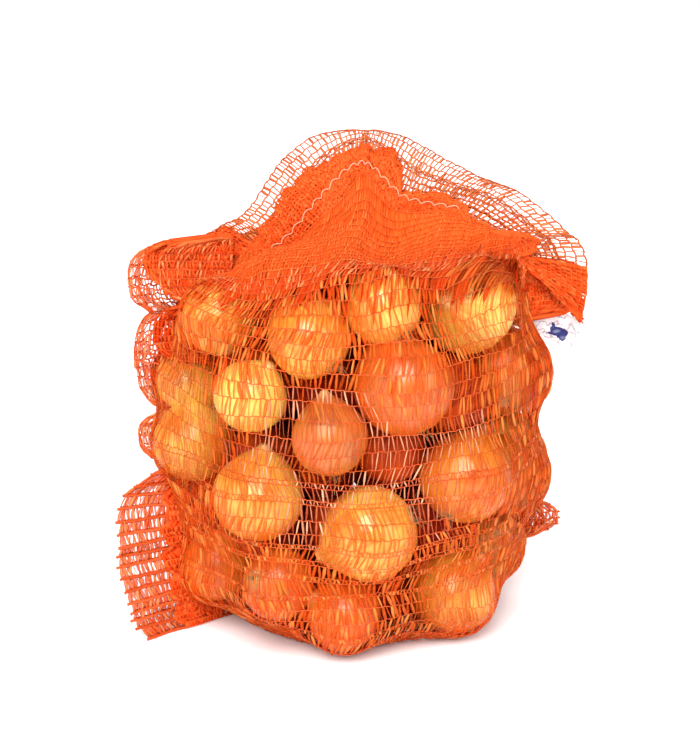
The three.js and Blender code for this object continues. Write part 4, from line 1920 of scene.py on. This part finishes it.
    def flap_layers(self) -> list[tuple[SideFlap, Stretch, float]]:
        """Give the layers of the loose net at the sides.

        Returns:
            The layers, each with how it is knitted and its fringe.
        """
        left = (self.left_root, self.left_heading)
        ear = (*left, self.ear_lobe)
        right = (self.right_root, self.right_heading, self.right_lobe)
        mouth = (self.mouth_root, self.right_heading, self.mouth_lobe)
        layers: list[tuple[SideFlap, Stretch, float]] = [
            (FlapLayer(*ear, offset=-0.8), Stretch.FLAP, self.fringe),
            (FlapLayer(*ear, offset=0.9, last=0.97), Stretch.FLAP, self.fringe),
            (FlapPouch(*left, self.pouch_lobes, offset=8.0), Stretch.LOOSE, 0.0),
            (FlapLayer(*left, self.crease_lobe, offset=-5.0, first=0.4), Stretch.CREASED, 0.0),
            (FlapLayer(*left, self.band_lobe, offset=-1.5, first=0.3), Stretch.DENSE, 0.0),
            (FlapLayer(*left, self.band_lobe, offset=3.0), Stretch.DENSE, 0.0),
            (FlapLayer(*left, self.shoulder_lobe, offset=-8.0), Stretch.DENSE, 0.0),
            (FlapLayer(*left, self.shoulder_lobe, offset=-9.0), Stretch.SLACK, 0.0),
            (FlapLayer(*right, offset=-0.7), Stretch.POUCH, self.fringe),
            (FlapLayer(*right, offset=0.7), Stretch.POUCH, self.fringe),
            (FlapLayer(*right, last=0.8), Stretch.CREASED, 0.0),
        ]
        first, last = self.ear_fold_span
        for k in range(self.end_layers):
            fold = FlapLayer(
                *ear,
                offset=self.ear_fold_gap * k + self.ear_fold_offset,
                first=first,
                last=last - self.ear_fold_shortening * k,
                raggedness=self.ear_fold_raggedness,
            )
            tuck = FlapLayer(*mouth, offset=self.end_gap * k + self.tuck_offset)
            layers += [(fold, Stretch.DENSE, 0.0), (tuck, Stretch.DENSE, self.fringe)]
        return layers

    def build_edges(self, chains: MeshParts) -> list[bpy.types.Object]:
        """Knit the frill and the loose sides.

        Args:
            chains: The mesh that takes the chains of the inner frill and the flaps.

        Returns:
            The pieces.
        """
        edges, frill, flaps, folds, creases = (MeshParts() for _ in range(5))
        # Creased layers go in the darker copy of the net's colour: painted shade in the fold.
        closed = {Stretch.DENSE: (folds, folds), Stretch.CREASED: (creases, creases)}
        for layer, stretch in self.frill_layers():
            inner = (flaps, chains) if layer.reach < 1.0 else (frill, edges)
            self.knit.cover(*closed.get(stretch, inner), layer, (0.0, 1.0), stretch.value)
        for flap, stretch, fringe in self.flap_layers():
            self.knit.cover(*closed.get(stretch, (flaps, chains)), flap, flap.ends(), stretch.value, fringe)
        return [
            edges.make("net_frill_chains", self.finishes.edge.material()),
            frill.make("net_frill_tapes", self.finishes.frill.material()),
            flaps.make("net_side_flaps", self.finishes.flap.material()),
            folds.make("net_folds", self.finishes.fold.material()),
            # The creases in the darker copy of the net's colour: painted shade.
            creases.make("net_creases", self.finishes.under.material()),
        ]

    def build(self) -> list[bpy.types.Object]:
        """Make every piece of the net.

        Returns:
            The pieces.
        """
        chains = MeshParts()
        pieces = self.build_tight(chains) + self.build_edges(chains)
        pieces.append(chains.make("net_chains", self.finishes.chain.material()))
        for piece in pieces:
            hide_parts("sack")
        return pieces


@dataclass
class ClosingStitch:
    """The pale thread that sews the mouth shut, in scallops along the front of the frill."""

    frill: MouthFrill
    above_seam: float = 0.2
    first: float = 0.13
    last: float = 0.71
    clear: float = 2.6
    swing: float = 0.05
    stitches: int = 19
    steps: int = 8
    radius: float = 0.36
    tone: float = 0.5

    def build(self, material: bpy.types.Material) -> bpy.types.Object:
        """Make the thread.

        Args:
            material: The finish.

        Returns:
            The piece.
        """
        count = self.steps * self.stitches + 1
        share = np.linspace(self.first, self.last, count)
        scallop = np.abs(np.sin(np.arange(count) * math.pi / self.steps))
        points = self.frill.place(share, self.above_seam + self.swing * scallop)
        points[:, 1] -= self.clear
        normals = np.broadcast_to([0.0, -1.0, 0.0], points.shape)
        radius = np.full((1, count), self.radius)
        parts = MeshParts()
        tone = np.full(1, self.tone)
        parts.add_strands(points[None], normals[None], radius, radius, np.zeros(1), tone)
        piece = parts.make("stitch_thread", material)
        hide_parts("closing_stitch")
        return piece


@dataclass
class LabelTag:
    """The strip of printed film sewn in behind the frill at the right end of the seam."""

    length: float = 38.0
    width: float = 18.0
    half_thickness: float = 0.15
    curl: float = 4.0
    crease: float = 0.7
    place: tuple[float, float, float] = (113.0, 18.0, 170.0)
    tilt: float = 24.0
    crease_beats: tuple[tuple[float, float], ...] = ((9.0, 4.0), (-3.0, 7.0))
    ridge_beats: tuple[float, float] = (17.0, -9.0)
    ridge_share: float = 0.5
    columns: int = 48
    rows: int = 24

    def build(self, material: bpy.types.Material) -> bpy.types.Object:
        """Make the label.

        Args:
            material: The finish.

        Returns:
            The piece.
        """
        shares = (np.linspace(0, 1, self.columns), np.linspace(0, 1, self.rows))
        along, out = np.meshgrid(*shares, indexing="ij")
        beats = (*self.crease_beats, self.ridge_beats)
        one, other, ridge = (np.sin(length * along + height * out) for length, height in beats)
        crease = self.crease * (one * other + self.ridge_share * np.abs(ridge))
        deep = self.curl * np.sin(math.pi * along) - self.curl + crease
        flat = np.stack([self.length * (along - 0.5), deep, self.width * (out - 0.5)], axis=-1)
        turn = math.radians(self.tilt)
        tilted = flat.copy()
        tilted[..., 0] = flat[..., 0] * math.cos(turn) + flat[..., 2] * math.sin(turn)
        tilted[..., 2] = flat[..., 2] * math.cos(turn) - flat[..., 0] * math.sin(turn)
        middle = tilted + np.array(self.place)
        thick = np.array([0.0, self.half_thickness, 0.0])
        points = np.concatenate([(middle - thick).reshape(-1, 3), (middle + thick).reshape(-1, 3)])
        number = np.arange(self.columns * self.rows).reshape(self.columns, self.rows)
        front = np.stack([number[:-1, :-1], number[1:, :-1], number[1:, 1:], number[:-1, 1:]], axis=-1)
        back = front[..., ::-1] + number.size
        rim = np.concatenate([number[:, 0], number[-1, 1:], number[-2::-1, -1], number[0, -2:0:-1]])
        after = np.roll(rim, -1)
        edge = np.stack([after, rim, rim + number.size, after + number.size], axis=-1)
        maps = np.tile(np.stack([along, out], axis=-1).reshape(-1, 2), (2, 1))
        parts = MeshParts()
        parts.add(points, [front.reshape(-1, 4), back.reshape(-1, 4), edge], np.zeros(len(points)), maps)
        piece = parts.make("label_tag", material)
        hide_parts("label")
        return piece


@dataclass
class Studio:
    """The pale floor, the soft lights and the camera."""

    image_height: float = 755.0
    focal_pixels: float = 2087.0
    sensor: float = 24.0
    distance: float = 1200.0
    elevation: float = 18.0
    target: tuple[float, float, float] = (-1.0, 0.0, 141.8)
    floor_half: float = 12.0
    world_strength: float = 0.26
    light_target: tuple[float, float, float] = (0.0, 0.0, 0.12)
    lights: tuple[tuple[str, tuple[float, float, float], float, float], ...] = (
        ("key", (-0.2, -1.45, 1.6), 1.4, 61.0),
        ("fill", (1.5, -1.0, 0.9), 1.2, 10.0),
        ("left", (-1.6, -1.0, 0.7), 1.2, 9.0),
        ("back", (0.3, 1.4, 1.5), 1.2, 12.0),
    )
    farthest: float = 100.0

    def floor(self) -> None:
        """Lay the floor."""
        mesh = bpy.data.meshes.new("floor")
        half = self.floor_half
        corners = [(-half, -half, 0), (half, -half, 0), (half, half, 0), (-half, half, 0)]
        mesh.from_pydata(corners, [], [(0, 1, 2, 3)])
        floor = bpy.data.objects.new("floor", mesh)
        bpy.context.scene.collection.objects.link(floor)
        mesh.materials.append(FloorFinish().material())

    def light(self, name: str, place: tuple[float, float, float], size: float, power: float) -> None:
        """Hang one soft light that faces the sack.

        Args:
            name: Its name.
            place: Where it hangs, in metres.
            size: The length of its sides, in metres.
            power: Its power in watts.
        """
        lamp = bpy.data.lights.new(name, "AREA")
        lamp.size = size
        lamp.energy = power
        holder = bpy.data.objects.new(name, lamp)
        bpy.context.scene.collection.objects.link(holder)
        self.aim(holder, np.array(place), np.array(self.light_target))

    @staticmethod
    def aim(holder: bpy.types.Object, place: Array, target: Array) -> None:
        """Put a lamp or camera in place and turn it to a point."""
        holder.location = place
        holder.rotation_euler = Vector(target - place).to_track_quat("-Z", "Y").to_euler()

    def camera(self) -> None:
        """Set the camera at the height and distance of the picture's view."""
        lens = bpy.data.cameras.new("camera")
        lens.sensor_fit = "VERTICAL"
        lens.sensor_height = self.sensor
        lens.lens = self.sensor * self.focal_pixels / self.image_height
        lens.clip_end = self.farthest
        holder = bpy.data.objects.new("camera", lens)
        bpy.context.scene.collection.objects.link(holder)
        rise = math.radians(self.elevation)
        target = np.array(self.target) * MM
        place = target + self.distance * MM * np.array([0.0, -math.cos(rise), math.sin(rise)])
        self.aim(holder, place, target)
        bpy.context.scene.camera = holder

    def build(self) -> None:
        """Set up the floor, the lights, the surroundings and the camera."""
        self.floor()
        for light in self.lights:
            self.light(*light)
        world = bpy.data.worlds.new("world")
        bpy.context.scene.world = world
        world.use_nodes = True
        background = world.node_tree.nodes["Background"].inputs
        background["Color"].default_value = (1.0, 1.0, 1.0, 1.0)
        background["Strength"].default_value = self.world_strength
        bpy.context.scene.view_settings.view_transform = "Standard"
        self.camera()


def main() -> None:
    """Build the onions, the net, the stitch and the label, then the studio round them."""
    logging.basicConfig(level=logging.INFO, format="%(message)s")
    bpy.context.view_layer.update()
    belly, seam = Belly(), Seam()
    heap = OnionHeap(belly)
    root = ThreadFinish("onion_root", linear(92, 84, 52), linear(168, 150, 104), 0.8, 0.1)
    skin = OnionSkinFinish()
    # Painted shade: darker, redder tan, umber and straw, and little shine, for the core onions that lie in
    # the sack's shadow.
    shaded_inner_skin = OnionSkinFinish(
        "onion_skin_inner_shaded",
        tan=linear(186, 66, 16),
        umber=linear(118, 20, 4),
        straw=linear(150, 60, 24),
        shine=0.15,
    )
    onions = heap.build(skin.material(), shaded_inner_skin.material())
    for piece in [*onions, heap.build_roots(root.material())]:
        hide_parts("sack")
    net = SackNet(TightNet(belly, seam, heap), seam, Knit(), NetFinishes())
    net.build()
    thread = ThreadFinish("stitch_thread", linear(236, 146, 104), linear(255, 196, 160), 0.6, 0.2)
    ClosingStitch(net.frill()).build(thread.material())
    LabelTag().build(LabelFinish().material())
    Studio().build()


if __name__ == "__main__":
    main()
